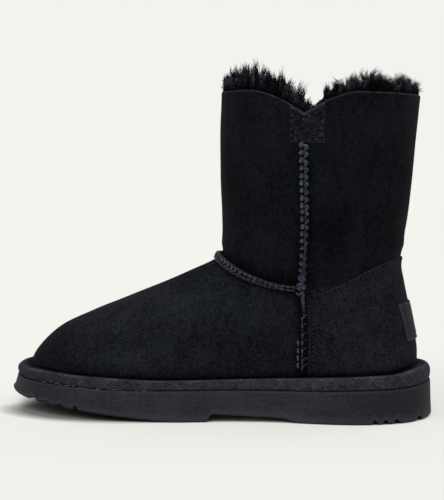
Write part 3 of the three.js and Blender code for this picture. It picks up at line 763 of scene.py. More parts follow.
@dataclass(frozen=True)
class LabelHide:
    """The blank heel label's smooth pressed leather."""

    name: str
    deep: Colour
    light: Colour

    def material(self) -> bpy.types.Material:
        """Builds the finish: fine grain cells with a satin face and a painted highlight along the
        edges.
        """
        shader = Shader(self.name)
        grain = shader.cells(0.7)
        slow = shader.noise(6, detail=3)
        share = (shader.span(slow, 0.3, 0.7) * 0.7 + grain * 0.3).held()
        colour = shader.blend(self.deep, self.light, share)
        # A painted highlight along the edges.
        colour = shader.blend(colour, tuple(3.2 * c for c in self.light), shader.attribute("edge"))
        return shader.dress(
            Base_Color=colour, Roughness=0.7, Specular_IOR_Level=0.15,
            Normal=shader.bump(grain, 0.1, 0.5))


# The upper's shaft is painted half as bright, as shade.
UPPER_SUEDE = Suede("upper_suede", tone(6, 8, 12), tone(38, 42, 49), tone(54, 59, 71), shaft=0.5)
OVERLAY_SUEDE = Suede("overlay_suede", tone(8, 9, 12), tone(39, 41, 47), tone(60, 61, 70),
                      blush=(1.12, 0.99, 1.0))
PATCH_SUEDE = Suede("patch_suede", tone(3, 4, 6), tone(38, 41, 48), tone(66, 74, 89), mottle=6.0,
                    nap=1.9)
BAND_SUEDE = Suede("band_suede", tone(25, 26, 31), tone(67, 68, 76), tone(108, 109, 121),
                   mottle=7.0, blush=(1.05, 0.98, 1.0))
# The cores are near black: painted shade in the gaps between the threads.
SEAM_CORE = Suede("seam_core", tone(3, 3, 5), tone(12, 13, 17), tone(22, 24, 30))
ROPE_CORE = Suede("rope_core", tone(2, 2, 4), tone(11, 12, 16), tone(20, 22, 28))
SOLE_FOAM = Foam("sole_foam", tone(27, 28, 34), tone(52, 53, 62))
COLLAR_WOOL = Wool("collar_wool", tone(1, 1, 3), tone(108, 106, 124))
CURLY_WOOL = Wool("curly_wool", tone(1, 1, 2), tone(116, 113, 130))
LINING_WOOL = Wool("lining_wool", tone(2, 2, 4), tone(34, 34, 42))
SEAM_THREAD = Thread("seam_thread", tone(15, 18, 27), tone(84, 91, 114))
CHAIN_THREAD = Thread("chain_thread", tone(9, 10, 16), tone(79, 84, 107))
ROPE_THREAD = Thread("rope_thread", tone(6, 7, 12), tone(46, 49, 65))
WHIP_THREAD = Thread("whip_thread", tone(22, 21, 26), tone(86, 81, 90))
ROW_THREAD = Thread("row_thread", tone(26, 27, 34), tone(68, 70, 82))
GLUE = Thread("glue", tone(62, 62, 68), tone(128, 127, 132))
LABEL_HIDE = LabelHide("label_hide", tone(16, 15, 23), tone(31, 29, 40))


PLY_SWELL = 0.13
THREAD_MARKS = ("ply", "shade")


class Piece:
    """A mesh in the making: blocks of points and faces, with numbers marked at the points."""

    def __init__(self, name: str, marks: Sequence[str] = ("edge", "shaft", "worn")) -> None:
        """Starts an empty piece with the marks that its finish reads."""
        self.name = name
        self.marks = {mark: [] for mark in marks}
        self.points: list[Array] = []
        self.faces: list[Array] = []
        self.count = 0

    def add_points(self, points: Array, marks: dict[str, Array | float]) -> None:
        """Adds points in their order, and each mark's value at them."""
        flat = points.reshape(-1, 3)
        self.points.append(flat)
        self.count += len(flat)
        for mark, kept in self.marks.items():
            value = np.broadcast_to(np.asarray(marks.get(mark, 0.0), float), points.shape[:-1])
            kept.append(value.reshape(-1))

    def grid(self, points: Array, wrap: tuple[bool, bool] = (False, False), **marks) -> None:
        """Adds a sheet of four-sided faces.

        Args:
            points: rows by columns by 3. A face looks along rows crossed with columns.
            wrap: whether the rows, and the columns, close on themselves.
            **marks: a value for each mark, or one for each point.
        """
        rows, columns = points.shape[:2]
        ring = self.count + np.arange(rows * columns).reshape(rows, columns)
        self.add_points(points, marks)
        if wrap[0]:
            ring = np.concatenate([ring, ring[:1]], axis=0)
        if wrap[1]:
            ring = np.concatenate([ring, ring[:, :1]], axis=1)
        corners = [ring[:-1, :-1], ring[1:, :-1], ring[1:, 1:], ring[:-1, 1:]]
        self.faces.append(np.stack(corners, axis=-1).reshape(-1, 4))

    def tubes(self, centres: Array, up: Array, radius: Array, sides: int = 6, flat: float = 1.0,
              plies: int = 0, twist: float = 0.0, **marks) -> None:
        """Adds many closed tubes at once.

        A ring's points lie on an ellipse in the plane of side and up, where side is the tube's
        direction crossed with up. Plies swell it by a cosine of the angle round, which turns
        from one station to the next.

        Args:
            centres: tubes by stations by 3.
            up: a direction for each station, roughly square to the tube.
            radius: half the tube's width at each station.
            sides: points in a ring.
            flat: the tube's height over its width.
            plies: how many strands the thread is twisted of, or 0 for a plain tube.
            twist: how far the plies turn at each station.
            **marks: a value for each mark, or one for each station.
        """
        number, stations = centres.shape[:2]
        ahead = unit(np.gradient(centres, axis=1))
        side = unit(np.cross(ahead, up))
        rise = unit(np.cross(side, ahead))
        turn = 2 * np.pi * np.arange(sides) / sides
        ring = (side[:, :, None] * np.cos(turn)[:, None]
                + rise[:, :, None] * (flat * np.sin(turn))[:, None])
        swell = np.cos(plies * turn + twist * np.arange(stations)[:, None]) if plies else 0 * turn
        bulk = np.asarray(radius)[..., None] * (1 + PLY_SWELL * swell)
        points = centres[:, :, None] + ring * bulk[..., None]
        ids = self.count + np.arange(number * stations * sides).reshape(number, stations, sides)
        spread = {mark: np.broadcast_to(np.asarray(value, float)[..., None], points.shape[:-1])
                  for mark, value in marks.items()}
        if plies:
            # The ply mark carries the swell, for the finish's painted light on the plies.
            spread["ply"] = np.broadcast_to(swell, points.shape[:-1])
        self.add_points(points, spread)
        after = np.roll(ids, -1, axis=2)
        corners = [ids[:, :-1], ids[:, 1:], after[:, 1:], after[:, :-1]]
        self.faces.append(np.stack(corners, axis=-1).reshape(-1, 4))
        self.faces.append(ids[:, 0])
        self.faces.append(ids[:, -1, ::-1])

    def build(self, material: bpy.types.Material, slot: str, merge: float = 0.0) -> bpy.types.Object:
        """Makes the object, dresses it and lets it ride on the boot.

        Args:
            material: its finish.
            slot: not used.
            merge: points closer than this are made one, in millimetres.

        Returns:
            The object, at the origin, with its place in its mesh.
        """
        points = np.concatenate(self.points)
        points = (points + np.array([0.0, FORM.shift, 0.0])) * MM
        sizes = np.concatenate([np.full(len(block), block.shape[1]) for block in self.faces])
        corners = np.concatenate([block.reshape(-1) for block in self.faces])
        mesh = bpy.data.meshes.new(self.name)
        mesh.vertices.add(len(points))
        mesh.vertices.foreach_set("co", points.reshape(-1).astype(np.float32))
        mesh.loops.add(len(corners))
        mesh.loops.foreach_set("vertex_index", corners.astype(np.int32))
        mesh.polygons.add(len(sizes))
        starts = np.concatenate([[0], np.cumsum(sizes)[:-1]])
        mesh.polygons.foreach_set("loop_start", starts.astype(np.int32))
        mesh.polygons.foreach_set("use_smooth", np.ones(len(sizes), bool))
        for mark, kept in self.marks.items():
            layer = mesh.attributes.new(mark, "FLOAT", "POINT")
            layer.data.foreach_set("value", np.concatenate(kept).astype(np.float32))
        mesh.update(calc_edges=True)
        mesh.validate()
        if merge:
            bm = bmesh.new()
            bm.from_mesh(mesh)
            bmesh.ops.remove_doubles(bm, verts=bm.verts, dist=merge * MM)
            bm.to_mesh(mesh)
            bm.free()
        mesh.materials.append(material)
        piece = put(self.name, mesh)
        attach(piece, "root")
        log.info("%s: %d faces", self.name, len(mesh.polygons))
        return piece


FORM = Form()


@dataclass
class Upper:
    """The suede upper: one wall, open at the collar and underneath.

    rim_climb is what v from 0 to 1 is taken to climb near the rim, as a share of the collar.
    """

    around: int = 288
    rows: int = 172
    inner_rows: int = 40
    rim_steps: int = 6
    rim_round: float = 0.6
    rim_mark: float = 0.35
    rim_climb: float = 0.55
    shaft_blur: float = 0.012

    def build(self) -> bpy.types.Object:
        """Carries the wall's section round the boot.

        The section runs up the outer face, over a half-round rim and down the inner face. The rim
        is marked as a cut edge, and what lies over the instep seam as the shaft, which the finish
        paints darker as shade.
        """
        u = np.arange(self.around)[:, None] / self.around
        close = self.rim_mark / (COLLAR_HEIGHT * self.rim_climb)
        v = np.concatenate([np.linspace(0, 1 - 2 * close, self.rows), [1 - close, 1.0]])[None, :]
        outer = FORM.skin(u, v)
        turn = np.linspace(0, np.pi, self.rim_steps + 2)[1:-1][None, :]
        top = FORM.face(u, np.ones_like(turn)) + np.array([0.0, 0.0, 1.0]) * (
            self.rim_round * np.sin(turn))[..., None]
        rim = top + FORM.normal(u, np.ones_like(turn)) * (SKIN / 2 * (np.cos(turn) - 1))[..., None]
        down = np.linspace(1, 0, self.inner_rows)[None, :]
        inner = FORM.skin(u, down, -SKIN)
        edge = np.concatenate([np.where(v > 1 - 0.5 * close, 1.0, 0.0) * np.ones_like(u),
                               np.ones((self.around, self.rim_steps)),
                               np.where(down > 0.99, 1.0, 0.0) * np.ones_like(u)], axis=1)
        shaft = np.concatenate([v, np.ones_like(turn), down], axis=1) * np.ones_like(u)
        # The mark of nap tone and painted light, with painted shade beside the seams and the band.
        worn = FORM.nap_and_shade(u, shaft)
        piece = Piece("upper_suede")
        # The shaft mark paints the suede over the instep seam darker, as shade.
        piece.grid(np.concatenate([outer, rim, inner], axis=1), wrap=(True, True), edge=edge,
                   shaft=smooth((shaft - INSTEP_V) / self.shaft_blur + 0.5), worn=worn)
        shell = piece.build(UPPER_SUEDE.material(), "suede")
        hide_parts("upper")
        return shell


@dataclass
class Panel:
    """A piece of leather laid on the upper, with rounded edges.

    left and right give its side edges as turns at each v; low and high its lower and upper edges
    as v at each turn.
    """

    name: str
    left: Callable[[Array], Array]
    right: Callable[[Array], Array]
    low: Callable[[Array], Array]
    high: Callable[[Array], Array]
    thick: float
    level: float = INSTEP_V
    under: float = 0.1
    columns: int = 90
    rows: int = 50
    edge_round: float = 0.8
    pressed: float = 0.0
    pressed_in: float = 2.2
    pressed_width: float = 0.35
    top_fold: float = 0.0
    edge_mark: float = 0.5

    def spread(self, count: int, length: float) -> Array:
        """Gives shares from 0 to 1 that are close together within the rounded edge."""
        edge = self.edge_round / length * np.array([0.0, 0.12, 0.3, 0.55, 0.8])
        middle = np.linspace(self.edge_round / length, 1 - self.edge_round / length, count)
        return np.concatenate([edge, middle, 1 - edge[::-1]])

    def place(self, s: Array, t: Array) -> tuple[Array, Array]:
        """Gives u and v at shares s across and t up the panel."""
        first = np.full_like(s, self.level)
        turn = self.left(first) + (self.right(first) - self.left(first)) * s
        low, high = self.low(turn), self.high(turn)
        v = low + (high - low) * t
        left, right = self.left(v), self.right(v)
        return left + (right - left) * s, v

    def sizes(self) -> tuple[float, float]:
        """Gives the panel's width and height over the leather, at its middle."""
        line = np.linspace(0, 1, 60)
        lengths = []
        for s, t in ((line, np.full_like(line, 0.5)), (np.full_like(line, 0.5), line)):
            points = FORM.face(*self.place(s, t))
            lengths.append(float(np.linalg.norm(np.diff(points, axis=0), axis=1).sum()))
        return lengths[0], lengths[1]

    def build(self, material: bpy.types.Material, slot: str, node: str) -> bpy.types.Object:
        """Lays the panel on the upper.

        Its thickness rises at the edge as a quarter circle, and dips along a pressed line.

        Args:
            material: its finish.
            slot: not used.
            node: the CAD node that it stands for.

        Returns:
            The object.
        """
        width, height = self.sizes()
        s = self.spread(self.columns, width)[:, None]
        t = self.spread(self.rows, height)[None, :]
        s, t = np.broadcast_arrays(s, t)
        u, v = self.place(s, t)
        across = np.minimum(s, 1 - s) * width
        up = np.minimum(t, 1 - t) * height
        near = np.minimum(across, up)
        rise = np.sqrt(1 - (1 - np.clip(near / self.edge_round, 0, 1)) ** 2)
        line = bell((near - self.pressed_in) / self.pressed_width) * self.pressed
        top = FORM.skin(u, v, self.under + self.thick * rise - line)
        base = FORM.skin(u, v, self.under)
        # A folded top carries the edge mark further in, as a painted highlight along the raised fold.
        fold = 1 - smooth((up - 0.2) / max(self.top_fold, 0.01)) if self.top_fold else 0.0
        mark = np.maximum(1 - smooth(near / self.edge_mark), np.where(t > 0.5, fold, 0.0))
        # The same mark of nap tone, painted light and painted shade beside the seams.
        worn = FORM.nap_and_shade(u, v)
        piece = Piece(self.name)
        piece.grid(top, edge=mark, worn=worn)
        piece.grid(base[::-1], edge=mark[::-1], worn=worn[::-1])
        panel = piece.build(material, slot, merge=PANEL_MERGE)
        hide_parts(node)
        return panel

    def line(self, inset: float, edges: str, step: float = 0.25) -> list[Array]:
        """Gives lines of (u, v) a fixed inset from the named edges: l, r, t or b."""
        width, height = self.sizes()
        a, b = inset / width, inset / height
        s = np.arange(a, 1 - a, step / width)
        t = np.arange(b, 1 - b, step / height)
        ends = {"l": (np.full_like(t, a), t), "r": (np.full_like(t, 1 - a), t),
                "t": (s, np.full_like(s, 1 - b)), "b": (s, np.full_like(s, b))}
        return [np.stack(self.place(*ends[edge]), axis=-1) for edge in edges]


@dataclass
class StitchRow:
    """A row of stitches over leather: dots of thread, each beside a needle hole of painted shade."""

    pitch: float = 4.0
    length: float = 1.0
    radius: float = 0.34
    hole: float = 0.55
    gap: float = 1.1

    def lay(self, threads: Piece, holes: Piece, line: Array, lift: float) -> None:
        """Adds the row's threads and holes.

        Args:
            threads: the piece that takes the threads.
            holes: the piece that takes the holes.
            line: (u, v) points close together along the row.
            lift: the height of the leather's surface over the upper.
        """
        path = FORM.skin(line[:, 0], line[:, 1], lift)
        gone = length_gone(path)
        starts = np.arange(0.5 * self.pitch, gone[-1] - self.length, self.pitch)
        share = np.linspace(0, 1, 6)
        at = starts[:, None] + share[None, :] * self.length
        u, v = (np.interp(at, gone, line[:, k]) for k in (0, 1))
        bow = np.sin(np.pi * share)
        centres = FORM.skin(u, v, lift - 0.14 + 0.3 * bow[None, :])
        radius = self.radius * plump(share, 0.5)[None, :] * np.ones_like(u)
        threads.tubes(centres, FORM.normal(u, v), radius, sides=6, plies=2, twist=0.8)
        # Each hole is a short dark tube: painted shade in the needle hole.
        at = starts - self.gap
        u, v = (np.interp(at, gone, line[:, k])[:, None] for k in (0, 1))
        depth = np.array([-0.3, 0.06])
        centres = FORM.skin(u, v, lift + depth[None, :])
        ahead = np.broadcast_to(np.array([1.0, 0.3, 0.2]), centres.shape)
        holes.tubes(centres, ahead, np.full(centres.shape[:2], self.hole), sides=8)


@dataclass
class Route:
    """A line over the upper, up it at one turn or round it at one height, by its own length."""

    upward: bool
    fixed: float
    start: float
    end: float
    u: Array = field(init=False)
    v: Array = field(init=False)
    gone: Array = field(init=False)

    def __post_init__(self) -> None:
        """Measures the line."""
        run = np.linspace(self.start, self.end, 400)
        still = np.full_like(run, self.fixed)
        self.u, self.v = (still, run) if self.upward else (run, still)
        self.gone = length_gone(FORM.face(self.u, self.v))

    @property
    def length(self) -> float:
        """Gives the line's length in millimetres."""
        return float(self.gone[-1])

    def spot(self, along: Array, across: Array) -> tuple[Array, Array]:
        """Gives u and v at a length along the line and a length to its side."""
        u, v = np.interp(along, self.gone, self.u), np.interp(along, self.gone, self.v)
        if self.upward:
            return u + across / FORM.turn_rate(u, v), v
        return u, v + across / FORM.climb_rate(u, v)

    def place(self, along: Array, across: Array, lift: Array) -> Array:
        """Gives points at a length along, a length to the side and a lift over the leather."""
        u, v = self.spot(along, across)
        return FORM.skin(u, v, lift)

    def out(self, along: Array, across: Array) -> Array:
        """Gives the leather's outward direction there."""
        return FORM.normal(*self.spot(along, across))

    def sew(self, piece: Piece, along: Array, across: Array, lift: Array, radius: Array,
            **style) -> None:
        """Adds thread over the leather.

        Args:
            piece: the piece that takes it.
            along: lengths along the line, threads by stations.
            across: lengths to its side.
            lift: heights over the leather.
            radius: half the thread's width at each station.
            **style: what the piece's tubes take besides.
        """
        piece.tubes(self.place(along, across, lift), self.out(along, across), radius, **style)


@dataclass
class Puffs:
    """Two columns of short thick stitches, side by side over a ridge, with a dark line between."""

    pitch: float
    width: float
    ridge: float
    bulk: float
    waist: float
    waist_reach: float = 13.0
    waist_pinch: float = 0.26
    waist_dim: float = 0.28
    stations: int = 9

    def lay(self, piece: Piece, route: Route, begin: float, end: float, seed: int,
            slant: Callable[[Array], Array]) -> None:
        """Adds the stitches.

        A stitch runs from one edge of the seam almost to its middle. Its lift over the leather is
        the ridge times a cosine of its distance from the middle. Beside the waist, a length along
        the seam, the stitches are smaller and deeper in tone, by a bell.

        Args:
            piece: the piece that takes them.
            route: the line that they follow.
            begin: where the lowest may start along it.
            end: where the highest starts.
            seed: for the small differences between stitches.
            slant: how far a stitch runs down the seam, at each length along.
        """
        random = np.random.default_rng(seed)
        q = np.linspace(0, 1, self.stations)[None, :]
        for side in (-1.0, 1.0):
            first = end - (0.22 * self.pitch if side > 0 else 0.0)
            starts = np.arange(first, begin, -self.pitch)
            starts = starts + 0.09 * self.pitch * random.uniform(-1, 1, len(starts))
            pinch = bell((starts - self.waist) / self.waist_reach)[:, None]
            size = random.uniform(0.88, 1.06, len(starts))[:, None] * (1 - self.waist_pinch * pinch)
            tilt = slant(starts)[:, None] * random.uniform(0.5, 1.3, size.shape)
            along = starts[:, None] - tilt * q
            across = side * self.width * (0.5 * size + (0.07 - 0.5 * size) * q)
            crown = np.cos(np.pi * np.clip(across / self.width, -0.5, 0.5))
            lift = 0.1 + self.ridge * crown
            radius = self.bulk * size * plump(0.12 + 0.7 * q, 0.62)
            shade = random.uniform(-0.15, 0.2, size.shape) - 0.13 * slant(starts)[:, None]
            shade = shade - self.waist_dim * pinch - (0.1 if side > 0 else 0.0) - 0.25 * q**2
            route.sew(piece, along, across, lift, radius, sides=12, flat=0.6, plies=3,
                      twist=0.7 * side, shade=shade + 0.12)


@dataclass
class SideSeam:
    """One side seam: two columns of puffs up the shaft, and a plainer join beside the counter."""

    side: Side
    patch_bottom: float
    ridge_width: float = 5.0
    ridge_low: float = 0.9
    ridge_high: float = 1.4
    slant_least: float = 0.3
    slant_more: float = 2.6
    slant_from: float = 6.0
    slant_over: float = 34.0

    def ridge(self, piece: Piece, route: Route) -> None:
        """Adds the dark ridge of leather under the thread, half an ellipse across.

        It is low beside the counter, rises over a short stretch and then keeps its height.
        """
        # The ridge's near black is painted shade between the threads.
        low, high = self.ridge_low, self.ridge_high
        height = np.concatenate([np.full(40, low), np.linspace(low, high, 6), np.full(44, high)])
        along = np.linspace(0.0, route.length, len(height))[:, None]
        turn = np.linspace(np.pi, 0, 9)[None, :]
        across = -self.ridge_width / 2 * np.cos(turn)
        lift = 0.05 + height[:, None] * np.sin(turn)
        points = route.place(along, across + 0 * along, lift)
        piece.grid(points[:, ::-1])

    def build(self) -> list[bpy.types.Object]:
        """Builds the seam's ridge and threads."""
        top = float(FORM.row_at(np.array([self.side.value]), steady(self.patch_bottom))[0])
        route = Route(upward=True, fixed=self.side.value, start=0.012, end=top)
        knot = float(np.interp(INSTEP_V, route.v, route.gone))
        name = self.side.name.lower()
        core = Piece(f"seam_ridge_{name}")
        self.ridge(core, route)
        ridge = core.build(SEAM_CORE.material(), "thread", merge=PANEL_MERGE)
        threads = Piece(f"seam_threads_{name}", THREAD_MARKS)
        slant = lambda along: self.slant_least + self.slant_more * (
            1 - smooth((along - knot - self.slant_from) / self.slant_over))
        puffs = Puffs(pitch=4.5, width=4.15, ridge=1.25, bulk=1.9, waist=knot + 20.0)
        puffs.lay(threads, route, begin=knot + 3.0, end=route.length - 1.8, seed=5, slant=slant)
        self.spine(threads, route, knot)
        self.knot(threads, route, knot)
        self.dashes(threads, route, knot)
        piece = threads.build(SEAM_THREAD.material(), "thread")
        fine = Piece(f"whip_stitches_{name}", THREAD_MARKS)
        self.whips(fine, route, knot)
        whips = fine.build(WHIP_THREAD.material(), "thread")
        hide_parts(f"side_seam_{name}")
        return [ridge, piece, whips]

    def spine(self, piece: Piece, route: Route, knot: float) -> None:
        """Adds the thin slanting strands that join the puffs of the heel's side."""
        random = np.random.default_rng(33)
        q = np.linspace(0, 1, 8)[None, :]
        starts = np.arange(knot + 5.0, route.length - 5.0, 2.25)[:, None]
        starts = starts + random.uniform(-0.4, 0.4, starts.shape)
        across = self.side.heelward * (0.2 + 1.5 * q * random.uniform(0.6, 1.1, starts.shape))
        along = starts + 2.3 * q
        lift = 2.0 + 0.3 * np.sin(np.pi * q) - 0.5 * q + 0 * starts
        radius = 0.4 * plump(q, 0.6) + 0 * starts
        route.sew(piece, along, across, lift, radius, sides=8, plies=2, twist=0.8, shade=-0.25)

    def knot(self, piece: Piece, route: Route, at: float) -> None:
        """Adds the tangle of loops where the seams meet."""
        random = np.random.default_rng(21)
        q = np.linspace(0, 1, 9)[None, :]
        count = 18
        base = at + random.uniform(-3.8, 3.4, count)[:, None]
        lean = random.uniform(-2.6, 2.6, count)[:, None]
        middle = random.uniform(-2.0, 1.2, count)[:, None]
        reach = random.uniform(1.2, 2.6, count)[:, None]
        across = middle + reach * (q - 0.5)
        lift = 0.7 + random.uniform(0.8, 1.7, count)[:, None] * np.sin(np.pi * q)
        radius = 0.55 * plump(q, 0.6) + 0 * base
        route.sew(piece, base + lean * q, across, lift, radius, sides=10, plies=3, twist=0.7)

    def dashes(self, piece: Piece, route: Route, knot: float) -> None:
        """Adds the straight dashes on the toe side, and the line of small puffs below the knot."""
        q = np.linspace(0, 1, 7)[None, :]
        starts = np.arange(3.5, 20.0, 4.8)[:, None]
        toeward = -self.side.heelward
        across = toeward * (2.9 + 0 * q) + 0 * starts
        radius = 0.68 * plump(q, 0.55) + 0 * starts
        lift = 0.45 + 0.3 * np.sin(np.pi * q)
        route.sew(piece, starts + 3.5 * q, across, lift, radius, sides=10, plies=3, twist=0.7)
        starts = np.arange(knot - 19.0, knot - 3.0, 1.9)[:, None]
        size = 0.45 + 0.55 * smooth((starts - knot + 19.0) / 12.0)
        along = starts + 1.6 * q
        across = self.side.heelward * (0.9 - 2.0 * size * (q - 0.5))
        lift = 0.9 + 0.4 * np.sin(np.pi * q) + 0 * starts
        radius = 0.8 * size * plump(q, 0.6)
        route.sew(piece, along, across, lift, radius, sides=10, plies=3, twist=0.7,
                  shade=-0.45 * (1 - size) - 0.1 + 0 * q)

    def whips(self, piece: Piece, route: Route, knot: float) -> None:
        """Adds thin looped threads that climb beside the counter's edge, and the line they hold."""
        random = np.random.default_rng(17)
        q = np.linspace(0, 1, 12)[None, :]
        starts = np.arange(2.5, knot - 18.0, 5.3)[:, None]
        starts = starts + random.uniform(-0.5, 0.5, starts.shape)
        reach = random.uniform(2.4, 3.2, starts.shape)
        across = self.side.heelward * (-0.3 + reach * smooth(q))
        along = starts + random.uniform(2.6, 3.9, starts.shape) * q + 0.8 * np.sin(np.pi * q)
        lift = 1.05 + 0.35 * np.sin(np.pi * q) + 0 * starts
        radius = 0.38 * (0.7 + 0.4 * np.sin(2.4 * np.pi * q)) * np.ones_like(along)
        route.sew(piece, along, across, lift, radius, sides=6, plies=2, twist=0.8)
        q = np.linspace(0, 1, 60)[None, :]
        along = 1.5 + (knot - 20.0) * q
        across = self.side.heelward * (-0.35 + 0.3 * np.sin(2 * np.pi * along / 5.3))
        route.sew(piece, along, across, 1.15 + 0 * q, 0.2 + 0 * q, sides=6, plies=2, twist=0.8)


@dataclass
class InstepSeam:
    """The raised seam over the instep: a chain of loops that draws out into two strands."""

    width: float = 6.1
    height: float = 3.2
    pitch: float = 3.65
    strand: float = 0.54
    clear: float = 3.2

    def build(self) -> list[bpy.types.Object]:
        """Builds the rope's dark core, its two strands and the beaded cords along its edges.

        The strands part and meet as a cosine of the length along, by an amount that fades
        towards both side seams.
        """
        ends = []
        for side, sign in ((Side.INNER, 1.0), (Side.OUTER, -1.0)):
            rate = FORM.turn_rate(np.array([side.value]), np.array([INSTEP_V]))[0]
            ends.append(side.value + sign * self.clear / float(rate))
        route = Route(upward=False, fixed=INSTEP_V, start=ends[0] - 1.0, end=ends[1])
        middle = route.length / 2
        taper = lambda along: 1.0 - 0.42 * smooth((np.abs(along - middle) / middle - 0.25) / 0.7)
        along = np.linspace(0, route.length, 240)[:, None]
        turn = np.linspace(0, np.pi, 11)[None, :]
        size = taper(along)
        across = -0.92 * self.width / 2 * size * np.cos(turn)
        lift = 0.05 + 0.84 * self.height * size * np.sin(turn)
        # The core's near black is painted shade between the strands.
        core = Piece("instep_core")
        core.grid(route.place(along, across, lift))
        base = core.build(ROPE_CORE.material(), "thread")
        threads = Piece("instep_threads", THREAD_MARKS)
        self.strands(threads, route, middle, taper)
        rope = threads.build(CHAIN_THREAD.material(), "thread")
        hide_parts("instep_seam")
        cords = Piece("instep_cords", THREAD_MARKS)
        self.cords(cords, route, taper)
        return [base, rope, cords.build(ROPE_THREAD.material(), "thread")]

    def strands(self, piece: Piece, route: Route, middle: float,
                taper: Callable[[Array], Array]) -> None:
        """Adds the two strands of the chain, and a small crossing stitch wherever they meet."""
        along = np.linspace(0.5, route.length - 0.5, 620)[None, :]
        size = taper(along)
        swing = 0.72 * (1 - smooth((np.abs(along - middle) / middle - 0.4) / 0.2))
        uneven = 0.12 * np.sin(along / 5.7) + 0.1 * np.sin(along / 2.3 + 1.0)
        part = 1.2 * size + uneven - swing * np.cos(2 * np.pi * along / self.pitch)
        for sign in (-1.0, 1.0):
            across = sign * part
            crown = np.sqrt(np.clip(1 - (across / (0.5 * self.width * size)) ** 2, 0, 1))
            lift = 0.86 * self.height * size * crown + 0.12 * np.sin(4 * np.pi * along / self.pitch)
            bead = np.cos(2 * np.pi * along / self.pitch)
            radius = self.strand * (0.92 + 0.3 * bead) * size
            # Painted light and shade: each strand is lighter where its beads swell, the lower strand
            # darker.
            shade = 0.2 * bead - (0.02 if sign > 0 else 0.3) + 0.25 * np.sin(along / 3.1 + sign)
            route.sew(piece, along, across, lift, radius, sides=10, plies=3, twist=0.28, shade=shade)
        q = np.linspace(0, 1, 7)[None, :]
        knots = np.arange(self.pitch, route.length - 1.0, self.pitch)[:, None]
        along = knots + 0.7 * (q - 0.5)
        ending = 1 - smooth((np.abs(knots - middle) / middle - 0.45) / 0.15)
        across = 1.5 * (q - 0.5) * taper(along)
        lift = 0.9 * self.height * taper(along) + 0.2 * np.sin(np.pi * q) - 1.2 * (1 - ending)
        radius = (0.12 + 0.28 * ending) * plump(q, 0.6)
        route.sew(piece, along, across, lift, radius, sides=8, plies=2, twist=0.8)

    def cords(self, piece: Piece, route: Route, taper: Callable[[Array], Array]) -> None:
        """Adds the dim beaded cords beside the chain, which give the rope its round outline."""
        along = np.linspace(0.3, route.length - 0.3, 620)[None, :]
        size = taper(along)
        bead = np.abs(np.cos(np.pi * along / self.pitch))
        for sign in (-1.0, 1.0):
            across = sign * 0.4 * self.width * size
            lift = 0.5 * self.height * size
            radius = size * (0.42 + 0.26 * bead)
            route.sew(piece, along, across, lift, radius, sides=10, plies=3, twist=0.3)


@dataclass
class Counter:
    """The heel counter, its blank label and their stitching."""

    front: float = 80.5
    back: float = 103.0
    reach: float = 0.9
    thick: float = 1.2
    seam_clear: float = 3.8
    lowest: float = 0.008
    label_width: float = 39.0
    label_height: float = 23.8
    label_centre: float = 61.8
    label_thick: float = 1.1

    def top(self, x: Array) -> Array:
        """Gives the top edge's height at x: a smooth step from the seam towards the back."""
        start = FORM.heel_end + RINGS[0].seam * (FORM.toe_end - FORM.heel_end)
        t = (start - x) / (start - FORM.heel_end)
        return self.front + (self.back - self.front) * smooth(t / self.reach)

    def beside(self, side: Side) -> Callable[[Array], Array]:
        """Gives the counter's front edge on one side: a fixed length behind the seam."""
        def edge(v: Array) -> Array:
            """Gives the turn at v."""
            u = np.full_like(v, side.value)
            return u + side.heelward * self.seam_clear / FORM.turn_rate(u, v)
        return edge

    def panel(self) -> Panel:
        """Gives the counter's panel."""
        return Panel("counter_panel", self.beside(Side.OUTER), self.beside(Side.INNER),
                     steady(self.lowest), lambda u: FORM.row_at(u, self.top),
                     self.thick, columns=200, rows=70)

    def label(self) -> Panel:
        """Gives the label's panel, which wraps the back of the heel."""
        level = float(FORM.row_at(np.array([0.5]), steady(self.label_centre))[0])
        line = 0.5 + np.linspace(0, 0.2, 400)
        gone = length_gone(FORM.face(line, np.full_like(line, level)))
        reach = float(np.interp(self.label_width / 2, gone, line)) - 0.5
        height = lambda sign: (lambda u: FORM.row_at(
            u, steady(self.label_centre + sign * self.label_height / 2)))
        # The label's whole rim is marked for its painted highlight.
        return Panel("label_panel", steady(0.5 - reach), steady(0.5 + reach), height(-1), height(1),
                     self.label_thick, under=0.1 + self.thick, columns=60, rows=40,
                     edge_round=0.7, pressed=0.28, edge_mark=1.0)

    def build(self, threads: Piece, holes: Piece) -> list[bpy.types.Object]:
        """Builds the counter and the label, and adds their stitch rows."""
        counter, label = self.panel(), self.label()
        pieces = [counter.build(OVERLAY_SUEDE.material(), "counter_suede", "heel_counter"),
                  label.build(LABEL_HIDE.material(), "label_rubber", "heel_label")]
        row = StitchRow(pitch=2.9, length=0.8, radius=0.2, hole=0.5, gap=0.8)
        for line in counter.line(2.0, "t") + counter.line(1.3, "lr"):
            row.lay(threads, holes, line, 0.1 + self.thick)
        return pieces


